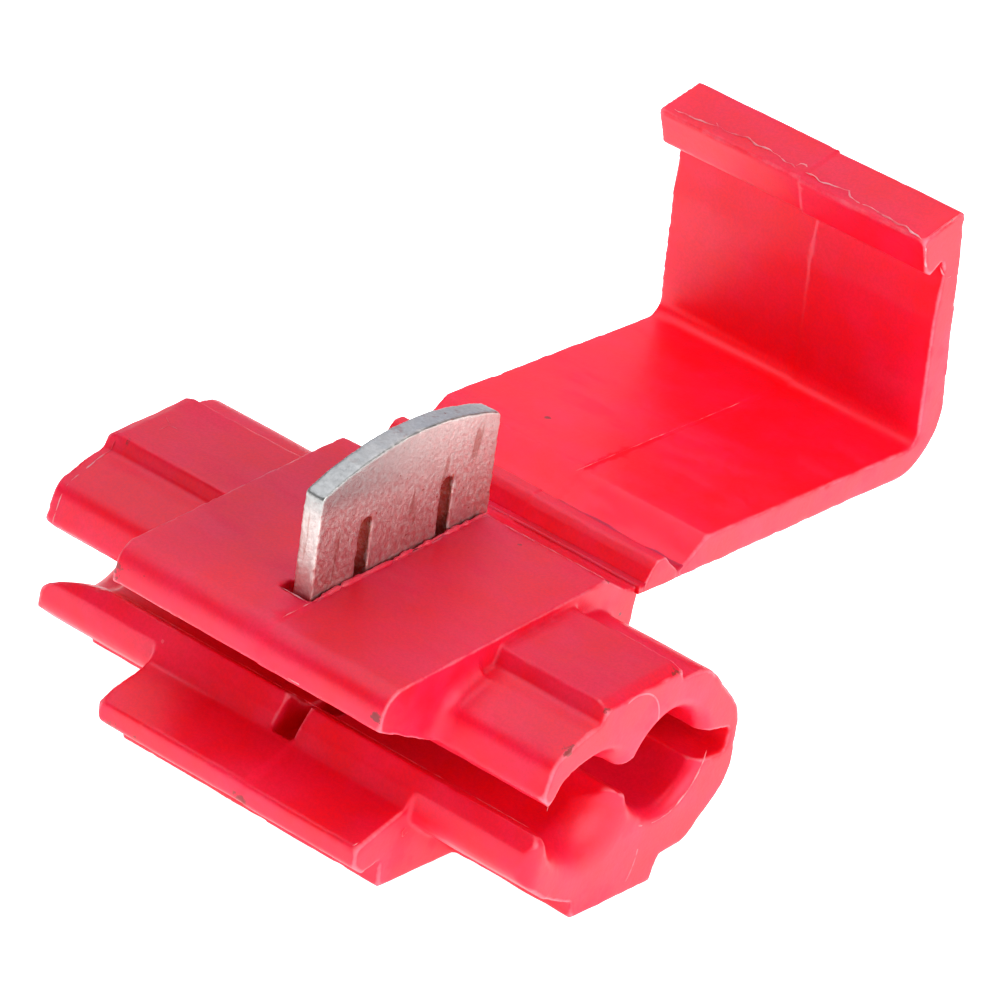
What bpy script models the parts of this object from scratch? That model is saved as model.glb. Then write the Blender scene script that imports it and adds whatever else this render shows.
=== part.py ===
"""Wire tap connector, open, with its fold-over cover lying back and its contact blade standing proud.

Every piece is a side profile, drawn in Y and Z and drawn out along X, the direction of the wires.
Z is up from the foot, -Y is the open mouth and +Y is the hinge side. Profile numbers are millimetres.
"""
import math

import bmesh
import bpy
from mathutils import Matrix, Vector

MM = 0.001

# Barrel, the long clip that takes both wires, with its channels between the foot and the plate
BARREL_LENGTH = 20.0
BARREL_HALF = BARREL_LENGTH / 2
CHANNEL_HEIGHT = 4.28
CHANNEL_DEPTH = 3.88
PLATE_HEIGHT = CHANNEL_HEIGHT + CHANNEL_DEPTH
CHANNEL_PITCH = 4.20
RUN_RADIUS = 1.45
TAP_RADIUS = 1.68
RUN_CENTRE = (-3.05, CHANNEL_HEIGHT)
TAP_CENTRE = (RUN_CENTRE[0] + CHANNEL_PITCH, CHANNEL_HEIGHT + 0.02)
RIDGE = (RUN_CENTRE[0] + 2.00, CHANNEL_HEIGHT)
BACK_WALL = 1.87
LIP_DROP = 0.68
LIP_TOP = CHANNEL_HEIGHT - LIP_DROP

# Ends of the barrel: mouths of the channels, fall of the lower lip, and bevels
MOUTH_START = 1.45
MOUTH_SPREAD = 0.80
MOUTH_LEAN = (0.85, -0.60)
TAP_MOUTH_START = 0.80
TAP_MOUTH_SPREAD = 0.55
FAR_MOUTH_STEP = 0.27
FAR_MOUTH_EXTRA = 0.40
FAR_LIP_STEP = 0.08
FAR_FALL = 3.00
FAR_DROP = 1.60
FAR_LIP_LEAN = math.radians(20)
NEAR_FALL = 0.60
NEAR_DROP = 0.65
FAR_KEEL_CUT = 0.50
JAW_CORNER = 0.75
PLATFORM_CHAMFER = 0.42
PLATFORM_CHAMFER_DROP = 0.17

# Upper block, with the inclined plate that the blade is pressed through
BLOCK_WIDTH = 10.65
BLOCK_SHIFT = 0.475
UPPER_X = (BLOCK_SHIFT - BLOCK_WIDTH / 2, BLOCK_SHIFT + BLOCK_WIDTH / 2)
PLATE_TILT = math.radians(4.64)
PLATE_LENGTH = 10.16
PLATE_REAR = (2.38, PLATE_HEIGHT)
PLATE_FRONT = (PLATE_REAR[0] - PLATE_LENGTH, PLATE_HEIGHT - PLATE_LENGTH * math.tan(PLATE_TILT))
REAR_STEP = 1.76
BLOCK_REAR = PLATE_REAR[0] + REAR_STEP
PLATFORM_S = (-4.96, -1.49)
PLATFORM_H = -0.33
COVE_WIDTH = 0.60
COVE_RISE = 0.75
COVE_BED = 0.06

# Lower block, with the ledge that the cover's hook catches
LEDGE_WIDTH = 10.37
LEDGE_SHIFT = 0.265
LOWER_X = (LEDGE_SHIFT - LEDGE_WIDTH / 2, LEDGE_SHIFT + LEDGE_WIDTH / 2)
LEDGE_FRONT = (PLATE_FRONT[0] + 0.50, 1.16)

# Living hinges: the gap stands for each thin web, and each axis lies on the root of its groove.
# The link and the cover sit a little further along the wires than the block.
STRAP_SHIFT = BLOCK_SHIFT + 0.16
STRAP_X = (STRAP_SHIFT - BLOCK_WIDTH / 2, STRAP_SHIFT + BLOCK_WIDTH / 2)
WEB_GAP = 0.10
WEB_THICKNESS = 0.29
GROOVE_DEPTH = 0.65
HINGE_PITCH = 1.71
HINGE_RISE = 0.07
LINK_AXIS = (BLOCK_REAR + WEB_GAP / 2, PLATE_HEIGHT - GROOVE_DEPTH)
COVER_AXIS = (LINK_AXIS[0] + HINGE_PITCH, LINK_AXIS[1] + HINGE_RISE)
WEB_UNDER = LINK_AXIS[1] - WEB_THICKNESS
LINK_RIDGE = 0.71
LINK_TOP = LINK_AXIS[1] + LINK_RIDGE
LINK_SHOULDER = 0.26
LINK_FLANK = 0.27

# Cover, from the second hinge to the outer face of its wall, and from its underside to its top edge
COVER_LENGTH = 13.67
COVER_HEIGHT = 9.59
COVER_PANEL = 1.16
COVER_WALL = 0.95
COVER_HEEL_RISE = 0.21
COVER_HEEL_RADIUS = 2.00
COVER_LEAN = 1.76
WALL_TAPER = 0.55
HOOK_REACH = 2.10
HOOK_NOSE = 0.55
HOOK_DEPTH = 1.97
HOOK_NOTCH = 0.42
WALL_FACE_TOP = 3.83

# Contact blade, measured along the plate (s) and square to it (h) from the plate's rear edge
BLADE_THICKNESS = 0.72
BLADE_LENGTH = 8.20
BLADE_X = (0.13, 0.13 + BLADE_THICKNESS)
BLADE_S = (0.27 - BLADE_LENGTH, 0.27)
BLADE_CROWN = 4.21
BLADE_CROWN_RADIUS = 11.2
BLADE_FOOT = -1.30
BLADE_TRAVEL = 4.20
WIRE_SLOTS = (-5.70, -1.95)
WIRE_SLOT_HALF = 0.26
WIRE_SLOT_TOP = 1.95
BLADE_CLEARANCE = 0.08
RELIEF_WIDTH = 0.39

FINE_STEP = math.radians(8)
COARSE_STEP = math.radians(18)
FINE_ABOVE = 0.7

# Turns a drawing in X and Y into one in Y and Z that faces along X
ALONG_X = Matrix(((0, 0, 1, 0), (1, 0, 0, 0), (0, 1, 0, 0), (0, 0, 0, 1)))
# Turns a drawing in X and Y into one in X and Z that faces along -Y
ALONG_Y = Matrix.Rotation(math.pi / 2, 4, "X")
# Turns a drawing so that it faces along the plate, with its second axis square to the plate
ALONG_PLATE = (Matrix.Translation((0, PLATE_REAR[0] * MM, PLATE_REAR[1] * MM))
               @ Matrix.Rotation(PLATE_TILT, 4, "X") @ Matrix.Rotation(math.pi / 2, 4, "X"))


def reset():
    """Clear the scene and return the collections of the parts and of the cutters."""
    for thing in list(bpy.data.objects):
        bpy.data.objects.remove(thing)
    parts = bpy.data.collections.new("wire_tap_connector")
    cutters = bpy.data.collections.new("cutters")
    cutters.hide_render = True
    bpy.context.scene.collection.children.link(parts)
    bpy.context.scene.collection.children.link(cutters)
    return parts, cutters


def material(name, colour, roughness, metallic=0.0):
    """A Principled material of its own for one sub-part."""
    made = bpy.data.materials.new(name)
    made.use_nodes = True
    shader = made.node_tree.nodes["Principled BSDF"]
    shader.inputs["Base Color"].default_value = (*colour, 1.0)
    shader.inputs["Roughness"].default_value = roughness
    shader.inputs["Metallic"].default_value = metallic
    return made


def arc_steps(radius, turn):
    """How many straight steps an arc takes: finer on the larger radii."""
    step = FINE_STEP if radius > FINE_ABOVE else COARSE_STEP
    return max(1, round(abs(turn) / step))


def arc(centre, radius, start, end):
    """Points on a circle from one angle to another, both in degrees."""
    turn = math.radians(end - start)
    steps = arc_steps(radius, turn)
    angles = [math.radians(start) + turn * i / steps for i in range(steps + 1)]
    return [(centre[0] + radius * math.cos(a), centre[1] + radius * math.sin(a)) for a in angles]


def rounded(corners):
    """A closed outline through (y, z, radius) corners, with a tangent arc at each radius above zero."""
    outline = []
    count = len(corners)
    for index, (y, z, radius) in enumerate(corners):
        corner = Vector((y, z))
        if radius == 0:
            outline.append((y, z))
            continue
        before = (Vector(corners[index - 1][:2]) - corner).normalized()
        after = (Vector(corners[(index + 1) % count][:2]) - corner).normalized()
        half = before.angle(after) / 2
        reach = radius / math.tan(half)
        centre = corner + (before + after).normalized() * radius / math.sin(half)
        first = corner + before * reach - centre
        turn = first.angle_signed(corner + after * reach - centre)
        steps = arc_steps(radius, turn)
        for i in range(steps + 1):
            spoke = first.copy()
            spoke.rotate(Matrix.Rotation(-turn * i / steps, 2))
            outline.append(tuple(centre + spoke))
    return outline


def sharp(points):
    """The same points as corners without a radius."""
    return [(y, z, 0) for y, z in points]


def on_plate(s, h):
    """World (y, z) of a point given along the plate and square to it."""
    across = math.cos(PLATE_TILT)
    rise = math.sin(PLATE_TILT)
    return (PLATE_REAR[0] + s * across - h * rise, PLATE_REAR[1] + s * rise + h * across)


def draw(curve, points, closed):
    """Add one straight-sided spline through points in millimetres."""
    spline = curve.splines.new("POLY")
    spline.points.add(len(points) - 1)
    for point, (across, along) in zip(spline.points, points):
        point.co = (across * MM, along * MM, 0, 1)
    spline.use_cyclic_u = closed


def meshed(name, curve, place, home, origin):
    """Turn a curve into a closed mesh object at its place, with its origin where asked."""
    drawn = bpy.data.objects.new(name + "_drawn", curve)
    bpy.context.scene.collection.objects.link(drawn)
    bpy.context.view_layer.update()
    mesh = bpy.data.meshes.new_from_object(drawn.evaluated_get(bpy.context.evaluated_depsgraph_get()))
    mesh.transform(Matrix.Translation(-Vector(origin) * MM) @ place)
    bpy.data.objects.remove(drawn)
    return finished(name, mesh, home, origin)


def drawn_out(name, outline, span, home, origin=(0.0, 0.0, 0.0), turn=ALONG_X):
    """A closed solid: the outline as a filled 2D curve, drawn out over the span, along X if not turned."""
    curve = bpy.data.curves.new(name + "_outline", "CURVE")
    curve.dimensions = "2D"
    curve.fill_mode = "BOTH"
    curve.extrude = (span[1] - span[0]) / 2 * MM
    draw(curve, outline, True)
    place = turn @ Matrix.Translation((0, 0, (span[0] + span[1]) / 2 * MM))
    return meshed(name, curve, place, home, origin)


def finished(name, mesh, home, origin=(0.0, 0.0, 0.0)):
    """Weld the mesh, turn its faces outward and link an object of it."""
    body = bmesh.new()
    body.from_mesh(mesh)
    bmesh.ops.remove_doubles(body, verts=body.verts, dist=1e-8)
    bmesh.ops.recalc_face_normals(body, faces=body.faces)
    body.to_mesh(mesh)
    body.free()
    mesh.name = name
    solid = bpy.data.objects.new(name, mesh)
    solid.location = Vector(origin) * MM
    home.objects.link(solid)
    return solid


def combine(target, other, operation):
    """Join the other solid to the target, or cut it away, with an exact Boolean."""
    step = target.modifiers.new(other.name, "BOOLEAN")
    step.operation = operation
    step.solver = "EXACT"
    step.object = other
    other.hide_render = True
    other.display_type = "WIRE"


def fall_share(along, first):
    """How far a mouth or a lip has fallen away, from 0 to 1, at a share of its length from 0 to 1."""
    quick = first * math.sin(math.pi / 2 * min(1.0, 3 * along))
    return quick + (1 - first) * (1 - math.cos(math.asin(along)))


def mouth(name, centre, radius, length, spread, lean, first, side, home):
    """A flared mouth for one end of a channel: spun about the channel's line, then leaned ring by ring."""
    shares = [math.sin(math.radians(9 * i)) for i in range(11)]
    rings = {round(length * share, 6): fall_share(share, first) for share in shares}
    rings[length + 1.0] = 1.0
    body = bmesh.new()
    flare = [(along, radius + spread * share) for along, share in rings.items()]
    profile = [(0.0, 0.0), *flare, (length + 1.0, 0.0)]
    corners = [body.verts.new((along * MM, across * MM, 0)) for along, across in profile]
    edges = [body.edges.new((corners[i], corners[i + 1])) for i in range(len(corners) - 1)]
    bmesh.ops.spin(body, geom=[*corners, *edges], cent=(0, 0, 0), axis=(1, 0, 0),
                   angle=2 * math.pi, steps=36, use_merge=True, use_duplicate=False)
    for corner in body.verts:
        share = rings.get(round(corner.co.x / MM, 6), 0.0)
        along = side * (BARREL_HALF - length + corner.co.x / MM)
        across = centre[0] + lean[0] * share + corner.co.y / MM
        up = centre[1] + lean[1] * share + corner.co.z / MM
        corner.co = Vector((along, across, up)) * MM
    mesh = bpy.data.meshes.new(name)
    body.to_mesh(mesh)
    body.free()
    return finished(name, mesh, home)


def lip_fall(name, length, drop, first, lean, side, home):
    """Lets the top of the lower jaw's lip fall away in a curve towards one end, leaning into the channel."""
    top = LIP_TOP + 0.06
    shares = [i / 12 for i in range(13)]
    curve = [(side * (BARREL_HALF - length * (1 - share)), top - drop * fall_share(share, first))
             for share in shares]
    beyond = side * (BARREL_HALF + 0.5)
    inward = side * (BARREL_HALF - length - 0.2)
    above = CHANNEL_HEIGHT - 0.1
    outline = [*curve, (beyond, top - drop), (beyond, above), (inward, above), (inward, top)]
    lip = Matrix.Translation((0, (RUN_CENTRE[0] - 1.57) * MM, LIP_TOP * MM))
    turn = lip @ Matrix.Rotation(-lean, 4, "X") @ lip.inverted() @ ALONG_Y
    return drawn_out(name, outline, (-RUN_CENTRE[0] + 0.15, -RUN_CENTRE[0] + 2.55), home, turn=turn)


def keel_cut(name, home):
    """Shortens the keel under the barrel at the far end."""
    start = -BARREL_HALF + FAR_KEEL_CUT
    beyond = -BARREL_HALF - 0.5
    outline = [(start, -0.5), (start, 0.20), (start - 0.20, 0.64), (beyond, 0.64), (beyond, -0.5)]
    return drawn_out(name, outline, (-TAP_CENTRE[0] - 1.5, -RUN_CENTRE[0]), home, turn=ALONG_Y)


def corner_cutter(name, side, home):
    """Rounds the front corner of the lower jaw, seen from above, at one end of the barrel."""
    front = RUN_CENTRE[0] - 2.05
    centre = (side * (BARREL_HALF - JAW_CORNER), front + JAW_CORNER)
    sweep = arc(centre, JAW_CORNER, 0, -90) if side > 0 else arc(centre, JAW_CORNER, 180, 270)
    beyond = side * (BARREL_HALF + 0.5)
    outline = [*sweep, (centre[0], front - 0.5), (beyond, front - 0.5), (beyond, centre[1])]
    return drawn_out(name, outline, (0.8, CHANNEL_HEIGHT - 0.1), home, turn=Matrix.Identity(4))


def end_chamfer(name, side, home):
    """Bevels the end of the raised platform on one end of the barrel."""
    slope = PLATFORM_CHAMFER_DROP / PLATFORM_CHAMFER
    low = (side * (BARREL_HALF + 0.4), PLATFORM_H - PLATFORM_CHAMFER_DROP - 0.4 * slope)
    high = (side * (BARREL_HALF - PLATFORM_CHAMFER - 0.4), PLATFORM_H + 0.4 * slope)
    outline = [low, high, (low[0], high[1])]
    return drawn_out(name, outline, (-PLATFORM_S[1] - 0.15, -PLATFORM_S[0] + 0.15), home, turn=ALONG_PLATE)


def cove(name, side, home):
    """The hollow fillet between one side of the upper block and the curved front of the upper jaw."""
    section = bpy.data.curves.new(name + "_section", "CURVE")
    section.dimensions = "2D"
    hollow = [(COVE_RISE * (math.sin(a) - 1), side * COVE_WIDTH * (1 - math.cos(a)))
              for a in (math.radians(15 * i) for i in range(7))]
    bed = [(COVE_BED, -0.2 * side), (-COVE_RISE, -0.2 * side)]
    draw(section, [*bed, *hollow, (COVE_BED, side * COVE_WIDTH)], True)
    profile = bpy.data.objects.new(name + "_section", section)
    bpy.context.scene.collection.objects.link(profile)
    path = bpy.data.curves.new(name + "_path", "CURVE")
    path.dimensions = "2D"
    path.bevel_mode = "OBJECT"
    path.bevel_object = profile
    path.use_fill_caps = True
    draw(path, rounded(beside(RUN_CENTRE, (-1.94, 0.78, 0), (-1.64, 1.93, 0.80), (-0.28, 2.44, 0))), False)
    wall = UPPER_X[0] if side < 0 else UPPER_X[1]
    solid = meshed(name, path, ALONG_X @ Matrix.Translation((0, 0, wall * MM)), home, (0.0, 0.0, 0.0))
    bpy.data.objects.remove(profile)
    return solid


def beside(place, *corners):
    """Corners given as (across, up, radius) from a named place."""
    return [(place[0] + across, place[1] + up, radius) for across, up, radius in corners]


def barrel_outline():
    """The open C of both jaws: round the outside from lip to lip, then back through both channels."""
    back = TAP_CENTRE[0] + TAP_RADIUS + BACK_WALL
    outside = rounded([
        *beside(RUN_CENTRE, (-1.55, 0.38, 0.08), (-1.96, 0.72, 0.14), (-1.66, 1.95, 0.80),
                (-0.28, 2.46, 0.40), (0.30, 2.58, 0.20)),
        (*on_plate(PLATFORM_S[0], PLATFORM_H), 0.12), (*on_plate(PLATFORM_S[1], PLATFORM_H), 0.08),
        (1.08, PLATE_HEIGHT - 0.92, 0.10), (2.48, PLATE_HEIGHT - 0.95, 1.60),
        (back + 0.05, CHANNEL_HEIGHT + 0.67, 2.10), (back, CHANNEL_HEIGHT - 1.68, 1.60),
        *beside((TAP_CENTRE[0], 0.0), (1.85, 0.93, 0.90), (0.63, 0.88, 0.20), (0.43, 0.0, 0.12)),
        *beside((RUN_CENTRE[0], 0.0), (0.75, 0.0, 0.12), (0.67, 0.62, 0.20), (-0.80, 1.22, 0.50)),
        *beside((RUN_CENTRE[0], LIP_TOP), (-2.01, -1.48, 0.55), (-1.91, -0.55, 0.30),
                (-1.57, 0.0, 0.05), (-1.28, -0.15, 0)),
    ])
    lower = [
        *arc(RUN_CENTRE, RUN_RADIUS, 216, 330),
        *arc((RIDGE[0], RIDGE[1] - 0.56), 0.24, 150, 30),
        *arc(TAP_CENTRE, TAP_RADIUS, 203, 343),
    ]
    notch = [(TAP_CENTRE[0] + across, TAP_CENTRE[1] + up)
             for across, up in ((2.90, -0.58), (3.07, -0.45), (3.10, 0.10), (2.97, 0.26))]
    upper = [
        *arc(TAP_CENTRE, TAP_RADIUS, 18, 148),
        *arc((RIDGE[0] - 0.03, RIDGE[1] + 1.00), 0.42, 320, 215),
        *arc(RUN_CENTRE, RUN_RADIUS, 37, 152),
    ]
    return [*outside, *lower, *notch, *upper]


def upper_block_outline():
    """Plate, rounded front, underside of the mouth, and the rear wall that carries the first hinge."""
    return rounded([
        (*PLATE_REAR, 0.10), (*PLATE_FRONT, 0.85), (PLATE_FRONT[0] - 0.02, PLATE_FRONT[1] - 1.20, 0.12),
        *beside(RUN_CENTRE, (-1.67, 0.58, 0), (-1.40, 0.97, 0), (-1.05, 1.52, 0), (-0.15, 1.97, 0)),
        (2.90, CHANNEL_HEIGHT + 1.87, 0), (BLOCK_REAR, CHANNEL_HEIGHT + 0.82, 0),
        (BLOCK_REAR, LINK_AXIS[1] - 0.01, 0),
        *beside((BLOCK_REAR, LINK_AXIS[1]), (-0.36, -0.05, 0.20), (-0.76, 0.07, 0.20)),
    ])


def lower_block_outline():
    """Sloping shelf in front of the lower jaw, with the hooked ledge on its front."""
    return rounded([
        *beside(LEDGE_FRONT, (-0.06, 0.68, 0.18), (0.0, 0.0, 0.22), (0.48, -0.36, 0.06),
                (1.26, -0.11, 0.12)),
        (LEDGE_FRONT[0] + 1.38, 0.0, 0.06), (0.50, 0.0, 0), (0.50, 0.80, 0), (-1.50, 1.30, 0),
        *beside((RUN_CENTRE[0], LIP_TOP), (-1.35, -1.40, 0), (-1.50, -0.30, 0), (-1.94, -0.57, 0),
                (-2.22, -1.08, 0.10)),
    ])


def link_outline():
    """The ridge between the two grooves of the living hinge."""
    front = LINK_AXIS[0] + WEB_GAP / 2
    rear = COVER_AXIS[0] - WEB_GAP / 2
    return rounded([
        (front, WEB_UNDER, 0), (rear, WEB_UNDER + 0.02, 0), (rear, COVER_AXIS[1], 0),
        *beside((COVER_AXIS[0] - 2 * LINK_FLANK, LINK_TOP),
                (0.0, -LINK_SHOULDER, 0.20), (-LINK_SHOULDER, 0.0, 0.14)),
        *beside((LINK_AXIS[0] + LINK_FLANK, LINK_TOP), (0.22, 0.0, 0.20), (0.0, -LINK_SHOULDER, 0.20)),
        (front, LINK_AXIS[1] + 0.02, 0),
    ])


def cover_outline():
    """Flat panel, upstanding wall with a large outer radius, and the latch hook on its edge."""
    front = COVER_AXIS[0] + WEB_GAP / 2
    base = (front, WEB_UNDER + 0.02)
    heel = (front + COVER_LENGTH, base[1] + COVER_HEEL_RISE)
    top = (heel[0] - COVER_LEAN, base[1] + COVER_HEIGHT)
    face = heel[0] - WALL_TAPER - COVER_WALL
    return rounded([
        (*base, 0), (*heel, COVER_HEEL_RADIUS), (*top, 0.22),
        *beside((top[0] - HOOK_REACH, top[1] - HOOK_NOSE), (0.0, 0.0, 0.12), (0.58, -1.26, 0.12)),
        *beside((top[0], top[1] - HOOK_DEPTH), (-1.24, 0.0, 0.05), (-0.74, HOOK_NOTCH, 0.08),
                (-0.46, -0.06, 0.15)),
        (top[0] - 0.40, top[1] - WALL_FACE_TOP, 0),
        (face, base[1] + COVER_PANEL + 0.01, 0.50), (front + 1.20, base[1] + COVER_PANEL, 0.30),
        *beside(COVER_AXIS, (0.42, 0.19, 0.20)), (front, COVER_AXIS[1], 0),
    ])


def blade_outline():
    """Crowned plate with two bottom-open wire slots, as plate positions (s, h)."""
    start, end = BLADE_S
    middle = (start + end) / 2
    spread = math.degrees(math.asin((end - middle) / BLADE_CROWN_RADIUS))
    crown = arc((middle, BLADE_CROWN - BLADE_CROWN_RADIUS), BLADE_CROWN_RADIUS, 90 - spread, 90 + spread)
    corners = [(start, BLADE_FOOT + 0.25, 0), (start + 0.25, BLADE_FOOT, 0)]
    for slot in WIRE_SLOTS:
        top = arc((slot, WIRE_SLOT_TOP - WIRE_SLOT_HALF), WIRE_SLOT_HALF, 180, 0)
        left, right = slot - WIRE_SLOT_HALF, slot + WIRE_SLOT_HALF
        corners += [(left - 0.22, BLADE_FOOT, 0), (left, BLADE_FOOT + 0.4, 0)]
        corners += sharp(top)
        corners += [(right, BLADE_FOOT + 0.4, 0), (right + 0.22, BLADE_FOOT, 0)]
    corners += [(end - 0.25, BLADE_FOOT, 0), (end, BLADE_FOOT + 0.25, 0)]
    corners += [(*crown[0], 0.32), *sharp(crown[1:-1]), (*crown[-1], 0.16)]
    return rounded(corners)


def build():
    """Make the housing, the link, the cover and the contact blade."""
    parts, cutters = reset()

    housing = drawn_out("housing", barrel_outline(), (-BARREL_HALF, BARREL_HALF), parts)
    housing.data.materials.append(material("housing_plastic", (0.80, 0.035, 0.075), 0.42))
    for piece in (
        drawn_out("upper_block", upper_block_outline(), UPPER_X, cutters),
        drawn_out("lower_block", lower_block_outline(), LOWER_X, cutters),
        cove("cove_far", -1, cutters),
        cove("cove_near", 1, cutters),
    ):
        combine(housing, piece, "UNION")

    margin = BLADE_CLEARANCE
    slot = [on_plate(s, h) for s, h in (
        (BLADE_S[0] - margin, 1.2), (BLADE_S[1] + margin, 1.2),
        (BLADE_S[1] + margin, BLADE_FOOT - BLADE_TRAVEL - margin),
        (BLADE_S[0] - margin, BLADE_FOOT - BLADE_TRAVEL - margin))]
    rear, front = BLADE_S[0] + 0.43, BLADE_S[0] - 0.19
    relief = [on_plate(s, h) for s, h in ((front, 1.2), (rear, 1.2), (rear, -1.2), (front, -1.2))]
    cuts = [
        drawn_out("blade_slot", slot, (BLADE_X[0] - margin, BLADE_X[1] + margin), cutters),
        drawn_out("slot_relief", relief, (BLADE_X[0] - RELIEF_WIDTH, BLADE_X[0]), cutters),
    ]
    for side, end, mouth_step, extra, fall, drop, lip_step, lean in (
            (-1, "far", FAR_MOUTH_STEP, FAR_MOUTH_EXTRA, FAR_FALL, FAR_DROP, FAR_LIP_STEP, FAR_LIP_LEAN),
            (1, "near", 0.0, 0.0, NEAR_FALL, NEAR_DROP, 0.0, 0.0)):
        cuts.append(mouth("run_mouth_" + end, RUN_CENTRE, RUN_RADIUS - 0.03, MOUTH_START + extra,
                          MOUTH_SPREAD, MOUTH_LEAN, mouth_step, side, cutters))
        cuts.append(mouth("tap_mouth_" + end, TAP_CENTRE, TAP_RADIUS - 0.08, TAP_MOUTH_START,
                          TAP_MOUTH_SPREAD, (0.0, 0.0), 0.0, side, cutters))
        cuts.append(lip_fall("lip_fall_" + end, fall, drop, lip_step, lean, side, cutters))
        cuts.append(corner_cutter("jaw_corner_" + end, side, cutters))
        cuts.append(end_chamfer("platform_end_" + end, side, cutters))
    cuts.append(keel_cut("keel_cut_far", cutters))
    for cutter in cuts:
        combine(housing, cutter, "DIFFERENCE")

    link_origin = (STRAP_SHIFT, *LINK_AXIS)
    link = drawn_out("hinge_link", link_outline(), STRAP_X, parts, link_origin)
    link.data.materials.append(material("link_plastic", (0.80, 0.03, 0.065), 0.42))

    cover_origin = (STRAP_SHIFT, *COVER_AXIS)
    cover = drawn_out("cover", cover_outline(), STRAP_X, parts, cover_origin)
    cover.data.materials.append(material("cover_plastic", (0.80, 0.04, 0.085), 0.40))

    blade_profile = [on_plate(s, h) for s, h in blade_outline()]
    blade_origin = ((BLADE_X[0] + BLADE_X[1]) / 2, *on_plate(sum(BLADE_S) / 2, 0.0))
    blade = drawn_out("contact_blade", blade_profile, BLADE_X, parts, blade_origin)
    blade.data.materials.append(material("tinned_metal", (0.62, 0.60, 0.58), 0.38, 1.0))


build()
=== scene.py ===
"""The clip-on wire tap connector as photographed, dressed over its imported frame.

Each moulding is rebuilt from its side profile with the soft edges, mould split and flash of the real one,
and stands for the plain solid of the same body. Sizes are millimetres until a piece is finished.
"""
import logging
import math
from dataclasses import dataclass, field
from enum import Enum
from itertools import takewhile
from typing import Sequence

import bmesh
import bpy
import numpy as np
from mathutils import Matrix, Vector


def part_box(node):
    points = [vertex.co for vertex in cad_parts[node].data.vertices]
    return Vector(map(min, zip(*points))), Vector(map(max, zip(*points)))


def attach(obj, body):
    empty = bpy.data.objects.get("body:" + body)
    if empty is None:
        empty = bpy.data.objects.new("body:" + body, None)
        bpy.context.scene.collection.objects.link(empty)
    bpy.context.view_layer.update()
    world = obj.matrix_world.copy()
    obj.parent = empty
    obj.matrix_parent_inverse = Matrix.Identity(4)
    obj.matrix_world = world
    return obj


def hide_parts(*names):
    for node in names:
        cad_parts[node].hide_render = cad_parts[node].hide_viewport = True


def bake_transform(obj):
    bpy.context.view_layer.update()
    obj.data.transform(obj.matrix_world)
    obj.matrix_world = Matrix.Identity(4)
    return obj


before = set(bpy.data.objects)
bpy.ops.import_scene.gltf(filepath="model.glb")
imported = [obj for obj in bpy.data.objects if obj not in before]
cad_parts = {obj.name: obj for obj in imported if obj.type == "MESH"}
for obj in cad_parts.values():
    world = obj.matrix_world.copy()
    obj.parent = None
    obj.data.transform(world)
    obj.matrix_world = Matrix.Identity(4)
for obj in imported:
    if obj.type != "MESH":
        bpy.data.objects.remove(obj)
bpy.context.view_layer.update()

LOG = logging.getLogger("connector")
MM = 0.001
Point = tuple[float, float]
Corner = tuple[float, float, float]
Place = tuple[float, float, float]
Colour = tuple[float, float, float]
ALONG_X = Matrix(((0, 0, 1, 0), (1, 0, 0, 0), (0, 1, 0, 0), (0, 0, 0, 1)))
ALONG_Y = Matrix.Rotation(math.pi / 2, 4, "X")


class End(Enum):
    """The two ends of the barrel."""

    FAR = -1
    NEAR = 1


class Cut(Enum):
    """How one solid changes another."""

    ADD = "UNION"
    TAKE = "DIFFERENCE"


@dataclass(frozen=True)
class Sizes:
    """Sizes that several mouldings share, in millimetres, as in the part's own source."""

    barrel_half: float = 10.0
    channel_height: float = 4.28
    plate_height: float = 8.16
    run_centre: Point = (-3.05, 4.28)
    tap_centre: Point = (1.15, 4.30)
    run_radius: float = 1.45
    tap_radius: float = 1.68
    lip_top: float = 3.60
    plate_tilt: float = math.radians(4.64)
    plate_rear: Point = (2.38, 8.16)
    plate_front: Point = (-7.78, 7.3355)
    block_rear: float = 4.14
    upper_x: Point = (-4.85, 5.80)
    strap_x: Point = (-4.69, 5.96)
    lower_x: Point = (-4.92, 5.45)
    link_axis: Point = (4.19, 7.51)
    cover_axis: Point = (5.90, 7.58)
    web_gap: float = 0.10
    web_under: float = 7.22
    blade_x: Point = (0.13, 0.85)
    blade_s: Point = (-7.93, 0.27)
    split_x: float = 0.98

    def on_plate(self, s: float, h: float) -> Point:
        """World (y, z) of a point given along the inclined plate and square to it.

        Args:
            s: distance along the plate from its rear edge.
            h: height square to the plate.

        Returns:
            The point's y and z.
        """
        across, rise = math.cos(self.plate_tilt), math.sin(self.plate_tilt)
        return (self.plate_rear[0] + s * across - h * rise, self.plate_rear[1] + s * rise + h * across)

    def along_plate(self) -> Matrix:
        """The turn of a drawing whose second axis stands square to the plate."""
        place = Matrix.Translation((0, self.plate_rear[0], self.plate_rear[1]))
        return place @ Matrix.Rotation(self.plate_tilt, 4, "X") @ ALONG_Y


SIZES = Sizes()


def arc(centre: Point, radius: float, start: float, end: float) -> list[Point]:
    """Points on a circle.

    Args:
        centre: middle of the circle.
        radius: its radius.
        start: first angle in degrees.
        end: last angle in degrees.

    Returns:
        Points about five degrees apart.
    """
    steps = max(2, round(abs(end - start) / 5))
    angles = [math.radians(start + (end - start) * i / steps) for i in range(steps + 1)]
    return [(centre[0] + radius * math.cos(a), centre[1] + radius * math.sin(a)) for a in angles]


def beside(place: Point, *corners: Corner) -> list[Corner]:
    """Corners given as (across, up, radius) from a place, as corners of an outline."""
    return [(place[0] + across, place[1] + up, radius) for across, up, radius in corners]


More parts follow.
